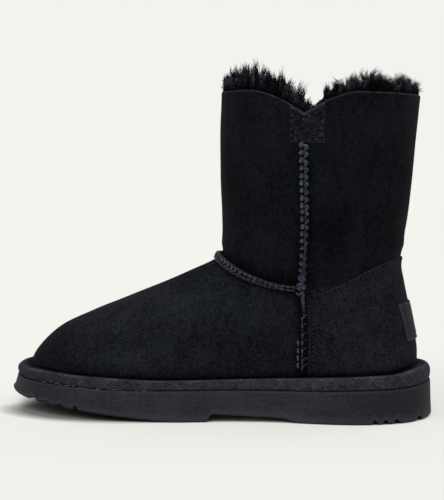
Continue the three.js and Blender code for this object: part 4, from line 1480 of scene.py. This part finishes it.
@dataclass
class NotchPatch:
    """The small patch under one notch of the collar."""

    side: Side
    bottom: float
    ahead: float = 9.0
    behind: float = 12.6
    thick: float = 1.1

    def panel(self) -> Panel:
        """Gives the patch's panel, which reaches the collar's rim."""
        level = 0.95
        u = np.array([self.side.value])
        rate = float(FORM.turn_rate(u, np.array([level]))[0])
        edges = sorted(self.side.value + self.side.heelward * by / rate
                       for by in (-self.ahead, self.behind))
        # The top fold gets a painted highlight.
        return Panel(f"patch_{self.side.name.lower()}",
                     steady(edges[0]), steady(edges[1]),
                     lambda u: FORM.row_at(u, steady(self.bottom)), steady(1.0),
                     self.thick, columns=70, rows=70, top_fold=1.5)

    def build(self, threads: Piece, holes: Piece) -> bpy.types.Object:
        """Builds the patch and adds its stitch rows."""
        panel = self.panel()
        piece = panel.build(PATCH_SUEDE.material(), "counter_suede", f"notch_{panel.name}")
        row = StitchRow()
        for line in panel.line(1.8, "lrb") + panel.line(3.2, "t"):
            row.lay(threads, holes, line, 0.1 + self.thick)
        return piece


class CutRow(NamedTuple):
    """A row of cuts across the sole: its first place and pitch as shares of the sole's length.

    plan is the foot's width there, as a share of the ball's.
    """

    first: float
    pitch: float
    count: int
    plan: float = 1.0

    def away(self, x: Array) -> Array:
        """Gives the distance from x to the middle of the nearest cut, in millimetres."""
        centres = (self.first + self.pitch * np.arange(self.count) - 0.5) * SOLE_LENGTH
        return np.abs(x[..., None] - centres).min(axis=-1)


# The round notches, the pads' slots, and the toe's ripples as shares of the sole's length.
NOTCH_ROWS = [CutRow(0.7991, 0.0, 1), CutRow(0.0794, 0.0238, 3), CutRow(0.0293, 0.0, 1)]
SLOT_ROWS = [CutRow(0.585, 0.045, 5), CutRow(0.17, 0.04, 3, plan=0.76)]
RIPPLES = [0.8364, 0.8737, 0.911]

# The tread's rounded edge, up to the wall: how far each ring is drawn in, as a share of the
# bevel, and how high it lies, as a share of the bevel's height.
TREAD_EDGE = [(1.0, 0.0), (0.6, 0.12), (0.3, 0.35), (0.08, 0.7), (0.0, 1.0)]


@dataclass
class Sole:
    """The outsole, the wrapped platform and the insole."""

    around: int = 720
    across: int = 48
    hidden_across: int = 6
    arch_heel: float = 0.29
    arch_toe: float = 0.503
    heel_rise: float = 2.8
    toe_rise: float = 4.8
    heel_ramp: float = 12.0
    toe_ramp: float = 4.5
    groove_width: float = 3.2
    groove_depth: float = 2.5
    ripple_depth: float = 1.7
    ripple_ahead: float = 6.4
    ripple_behind: float = 2.8
    slot_width: float = 4.0
    slot_depth: float = 2.2
    slot_inset: float = 17.0
    slot_round: float = 1.5
    heel_dim: float = 0.95
    toe_dim: float = 0.42
    wrap_steps: int = 14
    wrap_top: float = 3.6
    wrap_low: float = 1.5
    lap_at: float = -9.0
    lap_slant: float = 12.0
    lap_rise: float = 0.7
    lap_fade: float = 40.0
    top_sunk: float = 0.4
    top_overhang: float = 0.6
    bed_low: float = 0.3
    bed_high: float = 8.6

    def grooves(self, x: Array) -> Array:
        """Gives the depth of the cross grooves at x.

        The toe's ripples are steps: each falls off evenly towards the toe, and fast towards the
        heel. The others are round notches, a half ellipse in section.
        """
        depth = np.zeros_like(x)
        for row in NOTCH_ROWS:
            away = row.away(x) / (self.groove_width / 2)
            depth = np.maximum(depth, self.groove_depth * np.sqrt(np.clip(1 - away**2, 0, 1)))
        for centre in (np.array(RIPPLES) - 0.5) * SOLE_LENGTH:
            past = x - centre
            slope = np.where(past > 0, past / self.ripple_ahead, -past / self.ripple_behind)
            depth = np.maximum(depth, self.ripple_depth * smooth(1 - slope))
        return depth

    def slots(self, x: Array, y: Array) -> Array:
        """Gives the depth of the pads' short slots, which stop short of the sole's sides."""
        depth = np.zeros_like(x)
        for row in SLOT_ROWS:
            away = row.away(x) / (self.slot_width / 2)
            half = BALL_WIDTH / 2 * row.plan + OVERHANG.side - self.slot_inset
            inside = smooth((half - np.abs(y - FORM.axis(x))) / self.slot_round)
            depth = np.maximum(depth, self.slot_depth * np.clip(1 - away**2, 0, 1) ** 0.3 * inside)
        return depth

    def arch(self, x: Array) -> Array:
        """Gives the arch's recess at x: straight ramps to a plane between the two pads."""
        heel, toe = ((share - 0.5) * SOLE_LENGTH for share in (self.arch_heel, self.arch_toe))
        start, end = heel + self.heel_ramp, toe - self.toe_ramp
        plane = self.heel_rise + (self.toe_rise - self.heel_rise) * (x - start) / (end - start)
        ramp_in = smooth((x - heel) / self.heel_ramp)
        ramp_out = smooth((toe - x) / self.toe_ramp)
        return np.clip(plane, 0, None) * ramp_in * ramp_out

    def bottom(self, x: Array, y: Array) -> Array:
        """Gives the tread's height with its arch, grooves and slots."""
        cut = np.maximum(self.grooves(x), self.slots(x, y))
        return np.maximum(FORM.tread(x) + cut, self.arch(x))

    def turns(self) -> Array:
        """Gives turns that lie evenly along the sole's outline, the same on both sides."""
        u = np.linspace(0, 0.5, 2000)
        line = FORM.outline(OVERHANG, u)
        gone = length_gone(line)
        half = np.interp(np.linspace(0, gone[-1], self.around // 2 + 1), gone, u)
        return np.concatenate([half, 1 - half[-2:0:-1]])

    def strips(self, piece: Piece, ring: Array, height: Callable[[Array, Array], Array],
               down: bool, across: int) -> None:
        """Closes a ring with strips that run from side to side.

        Args:
            piece: the piece that takes them.
            ring: the ring's plan points.
            height: the height at x and y.
            down: whether the strips look down.
            across: how many points lie across the ring.
        """
        half = self.around // 2
        outer = ring[:half + 1]
        inner = np.concatenate([ring[:1], ring[:half - 1:-1]])
        share = np.linspace(0, 1, across)[None, :, None]
        plan = outer[:, None] * (1 - share) + inner[:, None] * share
        z = height(plan[..., 0], plan[..., 1])
        points = np.concatenate([plan, z[..., None]], axis=-1)
        piece.grid(points[::-1] if down else points)

    def outsole(self) -> bpy.types.Object:
        """Builds the outsole from rings up its wall, a cut tread and a plain top."""
        u = self.turns()
        foot = OVERHANG.plus(FLARE)
        floor = lambda ring: self.bottom(ring[:, 0], ring[:, 1])
        wall = lambda ring, share: floor(ring) * (1 - share) + share * FORM.sole_height(
            ring[:, 0], "wall")
        rings = []
        for drawn_in, up in TREAD_EDGE:
            plan = FORM.outline(foot.plus(BEVEL, -drawn_in), u)
            rings.append(np.column_stack([plan, floor(plan) + up * BEVEL_UP]))
        for share in (0.3, 0.45, 0.6, 0.75, 0.9, 0.96):
            overhang = OVERHANG.plus(FLARE, 1 - share**0.9 * 0.98)
            plan = FORM.outline(overhang, u)
            rings.append(np.column_stack([plan, wall(plan, share)]))
        for inset, drop in ((-0.25, 0.15), (-0.9, 0.0)):
            plan = FORM.outline(OVERHANG.grown(inset), u)
            rings.append(np.column_stack([plan, wall(plan, 1.0) - drop]))
        stack = np.stack(rings, axis=1)
        edge = np.zeros(stack.shape[:2])
        edge[:, 3:5] = 0.8
        edge[:, -3] = 0.6
        x = stack[..., 0]
        # The foam is darker towards the heel, painted shade, and a little darker towards the toe.
        worn = (-self.heel_dim * smooth((-x - 50.0) / 60.0)
                - self.toe_dim * smooth((x - 60.0) / 50.0))
        piece = Piece("outsole_foam")
        piece.grid(stack, wrap=(True, False), edge=edge, worn=worn)
        self.strips(piece, stack[:, 0, :2], self.bottom, down=False, across=self.across)
        top = lambda x, y: FORM.sole_height(x, "wall")
        self.strips(piece, stack[:, -1, :2], top, down=True, across=self.hidden_across)
        body = piece.build(SOLE_FOAM.material(), "outsole_foam", merge=SOLE_MERGE)
        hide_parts("outsole")
        return body

    def platform(self) -> bpy.types.Object:
        """Builds the platform with its round wrapped edge.

        The edge is half a circle in section. The wrap's overlap is a low slanting step on the
        outer side that fades away behind it, and the edge wanders a little. A lighter line near the
        top of the round is a painted highlight.
        """
        u = self.turns()
        rings = []
        light = []
        for share in np.linspace(0, 1, self.wrap_steps + 1):
            turn = np.pi * (share - 0.5)
            # A painted highlight near the top of the round.
            light.append(0.42 * bell((turn - 1.15) / 0.25))
            by = -(self.wrap_top if turn > 0 else self.wrap_low) * (1 - math.cos(turn))
            plan = FORM.outline(OVERHANG.grown(by), u)
            x, y = plan[:, 0], plan[:, 1]
            wander = (0.2 * np.sin(x / 11 + 1.3) + 0.12 * np.sin(x / 4.3)
                      + 0.1 * np.sin(y / 3.1 + x / 7))
            behind = self.lap_at - self.lap_slant * share - x
            lap = np.where(y > 0, smooth(behind) * (1 - smooth(behind / self.lap_fade)), 0.0)
            out = (wander + self.lap_rise * lap) * math.cos(turn)
            plan = FORM.outline(OVERHANG.grown(by), u) + out[:, None] * unit(
                plan - FORM.outline(OVERHANG.grown(by - 1.0), u))
            low = FORM.sole_height(plan[:, 0], "wall") + GAP
            high = FORM.sole_height(plan[:, 0], "top")
            z = low + (high - low) * (1 + math.sin(turn)) / 2
            rings.append(np.column_stack([plan, z]))
        plan = FORM.outline(Overhang.even(self.top_overhang), u)
        rings.append(np.column_stack([plan, FORM.sole_height(plan[:, 0], "top") - self.top_sunk]))
        stack = np.stack(rings, axis=1)
        edge = np.array([*light, 0.0]) * (1.0 + 0.6 * np.sin(stack[:, :1, 0] / 4.3))
        piece = Piece("platform_band")
        # The band is a little darker towards the toe.
        worn = -0.16 * smooth((stack[..., 0] - 60.0) / 40.0)
        piece.grid(stack, wrap=(True, False), edge=edge, worn=worn)
        low = lambda x, y: FORM.sole_height(x, "wall") + GAP
        top = lambda x, y: FORM.sole_height(x, "top") - self.top_sunk
        self.strips(piece, stack[:, 0, :2], low, down=False, across=self.hidden_across)
        self.strips(piece, stack[:, -1, :2], top, down=True, across=self.hidden_across)
        band = piece.build(BAND_SUEDE.material(), "edge_suede", merge=SOLE_MERGE)
        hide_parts("platform")
        return band

    def flecks(self) -> bpy.types.Object:
        """Builds the flecks of dry glue along the join under the band, over the forefoot."""
        random = np.random.default_rng(14)
        count = 24
        q = np.linspace(0, 1, 5)[None, :]
        start = random.uniform(0.03, 0.165, count)[:, None]
        u = start + random.uniform(0.0008, 0.0035, count)[:, None] * q
        plan = FORM.outline(OVERHANG.grown(-0.15), u)
        wander = random.uniform(-0.5, 0.5, count)[:, None] * np.ones_like(u)
        z = FORM.sole_height(plan[..., 0], "wall") + 0.35 + wander
        centres = np.concatenate([plan, z[..., None]], axis=-1)
        up = np.broadcast_to(np.array([0.0, 0.0, 1.0]), centres.shape)
        thin = random.uniform(0.1, 0.26, count)[:, None]
        radius = thin * plump(q, 0.45)
        piece = Piece("glue_flecks", THREAD_MARKS)
        piece.tubes(centres, up, radius, sides=6)
        return piece.build(GLUE.material(), "edge_suede")

    def insole(self) -> bpy.types.Object:
        """Builds the fleece footbed: a plate whose top is a field of small soft lumps."""
        u = self.turns()
        inset = -SKIN - 2 * GAP
        low, high = self.bed_low, self.bed_high
        rings = []
        for by, share in ((0.0, 0.0), (0.0, 0.7), (-0.7, 0.93), (-2.4, 1.0)):
            plan = FORM.outline(Overhang.even(inset + by), u)
            lift = low + (high - low) * share
            rings.append(np.column_stack([plan, FORM.sole_height(plan[:, 0], "top") + lift]))
        stack = np.stack(rings, axis=1)
        lumps = lambda x, y: (0.5 * np.sin(x / 1.7 + 1.5 * np.sin(y / 2.9))
                              * np.sin(y / 1.9 + 1.2 * np.sin(x / 3.3)))
        top = lambda x, y: FORM.sole_height(x, "top") + high + lumps(x, y) * smooth(
            (BALL_WIDTH / 2 - 8 - np.abs(y - FORM.axis(x))) / 6)
        bottom = lambda x, y: FORM.sole_height(x, "top") + low
        piece = Piece("insole_fleece", marks=("tip", "shade"))
        piece.grid(stack, wrap=(True, False), tip=0.4, shade=0.5)
        self.strips(piece, stack[:, 0, :2], bottom, down=False, across=self.hidden_across)
        self.strips(piece, stack[:, -1, :2], top, down=True, across=self.across)
        bed = piece.build(LINING_WOOL.material(), "fleece", merge=SOLE_MERGE)
        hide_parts("insole")
        return bed


class TuftPoint(NamedTuple):
    """The wool's top at one share of the collar from front to back, over the collar's height."""

    along: float
    rise: float


TUFT_TOPS = [
    TuftPoint(0.0, 9.0),
    TuftPoint(0.05, 13.0),
    TuftPoint(0.12, 16.6),
    TuftPoint(0.22, 17.6),
    TuftPoint(0.28, 16.0),
    TuftPoint(0.34, 11.0),
    TuftPoint(0.4, 4.0),
    TuftPoint(0.44, -4.0),
    TuftPoint(0.49, -8.5),
    TuftPoint(0.52, -0.5),
    TuftPoint(0.56, 7.0),
    TuftPoint(0.62, 9.0),
    TuftPoint(0.7, 11.0),
    TuftPoint(0.77, 13.0),
    TuftPoint(0.83, 10.5),
    TuftPoint(0.92, 10.5),
    TuftPoint(1.0, 8.5),
]


@dataclass(frozen=True)
class LockStyle:
    """How one stretch of the collar's locks grow."""

    radius: float
    gather: float
    wave: float
    curls: float
    stray: float
    lean: float
    hook: float
    least: float
    wool: Wool


SPIKY = LockStyle(radius=2.8, gather=0.78, wave=0.9, curls=1.1, stray=1.0, lean=5.5, hook=0.6,
                  least=0.42, wool=COLLAR_WOOL)
CURLY = LockStyle(radius=2.3, gather=0.5, wave=1.7, curls=2.2, stray=0.7, lean=3.5, hook=2.6,
                  least=0.52, wool=CURLY_WOOL)


@dataclass
class Fleece:
    """The wool: a lining with a soft bed at the rim, and locks that stand out of the collar."""

    thick: float = 8.5
    lining: float = 5.0
    around: int = 300
    clear: float = 0.35
    lowest: float = 0.06
    locks: int = 340
    strands: int = 29
    stations: int = 7
    fibre: float = 0.26
    seed: int = 3

    def tops(self, x: Array) -> Array:
        """Gives the height of the wool's top at x."""
        front = FORM.heel_end + RINGS[-1].front * (FORM.toe_end - FORM.heel_end)
        back = FORM.heel_end + RINGS[-1].back * (FORM.toe_end - FORM.heel_end)
        along = (front - x) / (front - back)
        return COLLAR_HEIGHT + column(TUFT_TOPS, "along", "rise", along)

    def lining_shell(self) -> bpy.types.Object:
        """Builds the lining and bed as one closed ring.

        The section runs up beside the leather, over a dome at the rim that reaches a share of
        the wool's height, and down the inside, where small lumps stand on it.
        """
        u = np.arange(self.around)[:, None] / self.around
        near = -SKIN - self.clear
        up = np.linspace(self.lowest, 1.0, 40)[None, :]
        outer = FORM.skin(u, up, near)
        rim = FORM.face(u, np.ones_like(u))
        out = FORM.normal(u, np.ones_like(u))
        turn = np.linspace(0, np.pi, 14)[1:-1][None, :]
        dome_rise = np.maximum(0.25 * (self.tops(rim[..., 0]) - rim[..., 2]), 0.6)
        deep = near - self.thick * (1 - np.cos(turn)) / 2
        dome = rim + out * deep[..., None]
        dome[..., 2] += dome_rise * np.sin(turn) ** 0.8
        down = np.linspace(1.0, self.lowest, 80)[None, :]
        thick = self.lining + (self.thick - self.lining) * smooth((down - 0.7) / 0.25)
        lump = np.sin(2 * np.pi * 61 * u + 3.0 * np.sin(90 * down)) * np.sin(
            260 * down + 2.5 * np.sin(2 * np.pi * 37 * u))
        inner = FORM.skin(u, down, near - thick - 0.6 * lump)
        section = np.concatenate([outer, dome, inner], axis=1)
        # The outside and the dome are marked as roots, near black: painted shade at the wool's base.
        mark = np.concatenate([np.zeros(outer.shape[:2]), np.full(dome.shape[:2], 0.1),
                               np.full(inner.shape[:2], 0.7)], axis=1)
        piece = Piece("wool_lining", marks=("tip", "shade"))
        piece.grid(section, wrap=(True, True), tip=mark, shade=0.6)
        shell = piece.build(LINING_WOOL.material(), "fleece")
        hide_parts("collar_wool")
        return shell

    def tuft(self, name: str, style: LockStyle, even: Array,
             random: np.random.Generator) -> bpy.types.Object:
        """Builds one stretch of locks.

        A lock's strands start in a small disc on the bed and gather towards its tip. They curl
        together as a helix whose width grows from root to tip, each with a stray of its own.

        Args:
            name: the piece's name.
            style: how the locks grow.
            even: the turn at which each lock stands.
            random: the stream of small differences.

        Returns:
            The object.
        """
        count = len(even)
        depth = np.clip((np.arange(count) * 0.618 % 1.0) ** 1.15 * 0.95, 0.02, 0.93)
        rim = FORM.face(even, np.ones(count))
        out = FORM.normal(even, np.ones(count)) * np.array([1.0, 1.0, 0.0])
        round_way = np.stack([-out[:, 1], out[:, 0], np.zeros(count)], axis=1)
        root = rim - out * (SKIN + 0.5 + self.thick * depth)[:, None]
        root[:, 2] += 0.12 * (self.tops(root[:, 0]) - root[:, 2]) - 2.5
        height = (self.tops(root[:, 0]) - root[:, 2]) * random.uniform(style.least, 1.04, count)
        lean = style.lean * (0.55 - depth) * random.uniform(0.3, 1.3, count)
        drift = random.uniform(-2.8, 2.8, count)
        axis = out * lean[:, None] + round_way * drift[:, None]
        axis[:, 2] += height
        shape = (count, self.strands)
        angle = random.uniform(0, 2 * np.pi, shape)
        off = style.radius * np.sqrt(random.uniform(0, 1, shape))
        disc = np.stack([np.cos(angle) * off, np.sin(angle) * off, np.zeros(shape)], axis=-1)
        q = np.linspace(0, 1, self.stations)
        grow = random.uniform(0.66, 1.08, shape)[..., None, None]
        wave = style.wave * random.uniform(0.5, 1.3, (count, 1, 1))
        phase = random.uniform(0, 2 * np.pi, (count, 1, 1)) + random.uniform(0, 1.4, (*shape, 1))
        turn = 2 * np.pi * style.curls * q + phase
        curl = np.stack([wave * np.sin(turn) * q, wave * np.cos(turn) * q,
                         0.3 * wave * np.sin(2 * turn) * q], axis=-1)
        loose = random.normal(0, style.stray, (*shape, 1, 3)) * (q**2)[:, None]
        swing = random.uniform(0, 2 * np.pi, count)
        hook = np.stack([np.cos(swing), np.sin(swing), np.full(count, -0.35)], axis=1)
        curl = curl + style.hook * hook[:, None, None] * (q**3)[:, None]
        centres = (root[:, None, None] + disc[:, :, None] * (1 - style.gather * q[:, None] ** 1.3)
                   + axis[:, None, None] * q[:, None] * grow + curl + loose)
        radius = 0.03 + (self.fibre - 0.03) * (1 - q) ** 0.55
        shade = random.uniform(0.0, 1.0, (count, 1, 1)) + random.uniform(-0.2, 0.3, (*shape, 1))
        spread = lambda values: np.broadcast_to(values, centres.shape[:3]).reshape(-1, self.stations)
        picked = centres.reshape(-1, self.stations, 3)
        up = np.broadcast_to(np.array([0.3, 1.0, 0.0]), picked.shape)
        piece = Piece(name, marks=("tip", "shade"))
        piece.tubes(picked, up, np.broadcast_to(radius, picked.shape[:2]), sides=3,
                    tip=spread(q), shade=spread(np.clip(shade, 0, 1)))
        return piece.build(style.wool.material(), "fleece")

    def tufts(self) -> list[bpy.types.Object]:
        """Builds the straight pointed locks in front and the curlier ones at the back."""
        random = np.random.default_rng(self.seed)
        even = (np.arange(self.locks) + random.uniform(-0.4, 0.4, self.locks)) / self.locks
        x = FORM.face(even, np.ones(self.locks))[:, 0]
        parting = float(FORM.face(np.array([0.25]), np.array([1.0]))[0, 0]) - 6.0
        return [self.tuft("wool_locks_front", SPIKY, even[x > parting], random),
                self.tuft("wool_locks_back", CURLY, even[x <= parting], random)]


class Lamp(NamedTuple):
    """A broad distant lamp: where it shines from and how wide it is, in degrees."""

    name: str
    azimuth: float
    elevation: float
    strength: float
    spread: float


LAMPS = [
    Lamp("key", azimuth=150.0, elevation=60.0, strength=1.15, spread=50.0),
    Lamp("top", azimuth=20.0, elevation=72.0, strength=0.38, spread=60.0),
    Lamp("rim", azimuth=305.0, elevation=30.0, strength=0.45, spread=40.0),
]


@dataclass
class Studio:
    """The pale floor, the soft light and the camera."""

    azimuth: float = 188.0
    elevation: float = 4.5
    distance: float = 780.0
    target: tuple[float, float, float] = (-3.21, 0.0, 105.3)
    lens: float = 84.8
    paper: Colour = tone(243, 242, 238)
    sky: float = 0.5
    close: float = 26.0
    matte: float = 0.42
    glow: float = 0.612
    # The soft oval of painted shadow under the raised toe.
    shade_centre: tuple[float, float] = (72.0, 22.0)
    shade_reach: tuple[float, float] = (70.0, 37.0)
    shade_depth: float = 0.78
    shade_edge: tuple[float, float] = (0.6, 1.12)
    sky_seen: tuple[float, float] = (0.11, 0.47)
    half_floor: float = 40.0

    def camera(self) -> None:
        """Places the camera at the photograph's angle."""
        azimuth, elevation = math.radians(self.azimuth), math.radians(self.elevation)
        back = np.array([math.sin(azimuth) * math.cos(elevation),
                         -math.cos(azimuth) * math.cos(elevation), math.sin(elevation)])
        data = bpy.data.cameras.new("camera")
        data.lens = self.lens
        data.sensor_width = 36.0
        camera = put("camera", data)
        camera.location = (np.array(self.target) + back * self.distance) * MM
        camera.rotation_euler = (math.pi / 2 - elevation, 0.0, azimuth)
        bpy.context.scene.camera = camera

    def floor(self) -> None:
        """Lays the paper: one wide sheet on the floor, which glows a little as a lit sweep does.

        The glow dims only where the boot closes most of the sky off close by, a painted shade. A soft
        oval under the raised toe, by the squares of its two distances over its reach, is a painted
        shadow.
        """
        mesh = bpy.data.meshes.new("paper_floor")
        size = self.half_floor
        corners = [(-size, -size, 0), (size, -size, 0), (size, size, 0), (-size, size, 0)]
        mesh.from_pydata(corners, [], [(0, 1, 2, 3)])
        shader = Shader("paper")
        open_sky = shader.out(shader.node("ShaderNodeAmbientOcclusion", {"samples": 12},
                                          {"Distance": self.close * MM}), "AO")
        # Painted shade: the glow dims where the boot closes off the sky.
        glow = shader.span(open_sky, *self.sky_seen)
        split = shader.node("ShaderNodeSeparateXYZ", inputs={0: shader.coords})
        # Painted shadow: a soft oval under the raised toe.
        away = 0.0
        for axis, centre, reach in zip("XY", self.shade_centre, self.shade_reach):
            share = (shader.out(split, axis) - centre * MM) * (1.0 / (reach * MM))
            away = share * share + away
        lit = 1.0 - self.shade_depth * (1.0 - shader.span(away, *self.shade_edge))
        black = (0.0, 0.0, 0.0)
        mesh.materials.append(shader.dress(
            Base_Color=shader.blend(black, tuple(self.matte * c for c in self.paper), lit),
            Roughness=0.95, Specular_IOR_Level=0.0, Emission_Strength=1.0,
            Emission_Color=shader.blend(black, tuple(self.glow * c for c in self.paper), glow * lit)))
        floor = put("paper_floor", mesh)

    def sun(self, lamp: Lamp) -> None:
        """Adds one lamp."""
        data = bpy.data.lights.new(lamp.name, "SUN")
        data.energy = lamp.strength
        data.angle = math.radians(lamp.spread)
        sun = put(lamp.name, data)
        sun.rotation_euler = (math.radians(90 - lamp.elevation), 0.0, math.radians(lamp.azimuth))

    def light(self) -> None:
        """Sets a pale backdrop that lights the boot less than it shows, and three broad lamps."""
        world = bpy.data.worlds.new("studio")
        world.use_nodes = True
        tree = world.node_tree
        seen = tree.nodes["Background"]
        seen.inputs[0].default_value = (*self.paper, 1.0)
        shone = tree.nodes.new("ShaderNodeBackground")
        shone.inputs[0].default_value = (*self.paper, 1.0)
        shone.inputs[1].default_value = self.sky
        path = tree.nodes.new("ShaderNodeLightPath")
        mix = tree.nodes.new("ShaderNodeMixShader")
        tree.links.new(path.outputs["Is Camera Ray"], mix.inputs[0])
        tree.links.new(shone.outputs[0], mix.inputs[1])
        tree.links.new(seen.outputs[0], mix.inputs[2])
        tree.links.new(mix.outputs[0], tree.nodes["World Output"].inputs[0])
        bpy.context.scene.world = world
        for lamp in LAMPS:
            self.sun(lamp)
        bpy.context.scene.view_settings.view_transform = "Standard"
        bpy.context.scene.view_settings.look = "None"


def main() -> None:
    """Builds the boot's pieces in order, then the studio around it."""
    logging.basicConfig(level=logging.INFO, format="%(name)s %(message)s")
    studio = Studio()
    studio.camera()
    Upper().build()
    threads = Piece("overlay_stitches", THREAD_MARKS)
    holes = Piece("needle_holes")
    Counter().build(threads, holes)
    bottom = COLLAR_HEIGHT - FORM.notch_depth - PATCH_DROP
    for side in Side:
        NotchPatch(side, bottom).build(threads, holes)
        SideSeam(side, bottom).build()
    InstepSeam().build()
    threads.build(ROW_THREAD.material(), "thread")
    # The needle holes are dark tubes, painted shade.
    holes.build(SEAM_CORE.material(), "thread")
    sole = Sole()
    sole.outsole()
    sole.platform()
    sole.flecks()
    sole.insole()
    fleece = Fleece()
    fleece.lining_shell()
    fleece.tufts()
    studio.floor()
    studio.light()


if __name__ == "__main__":
    main()
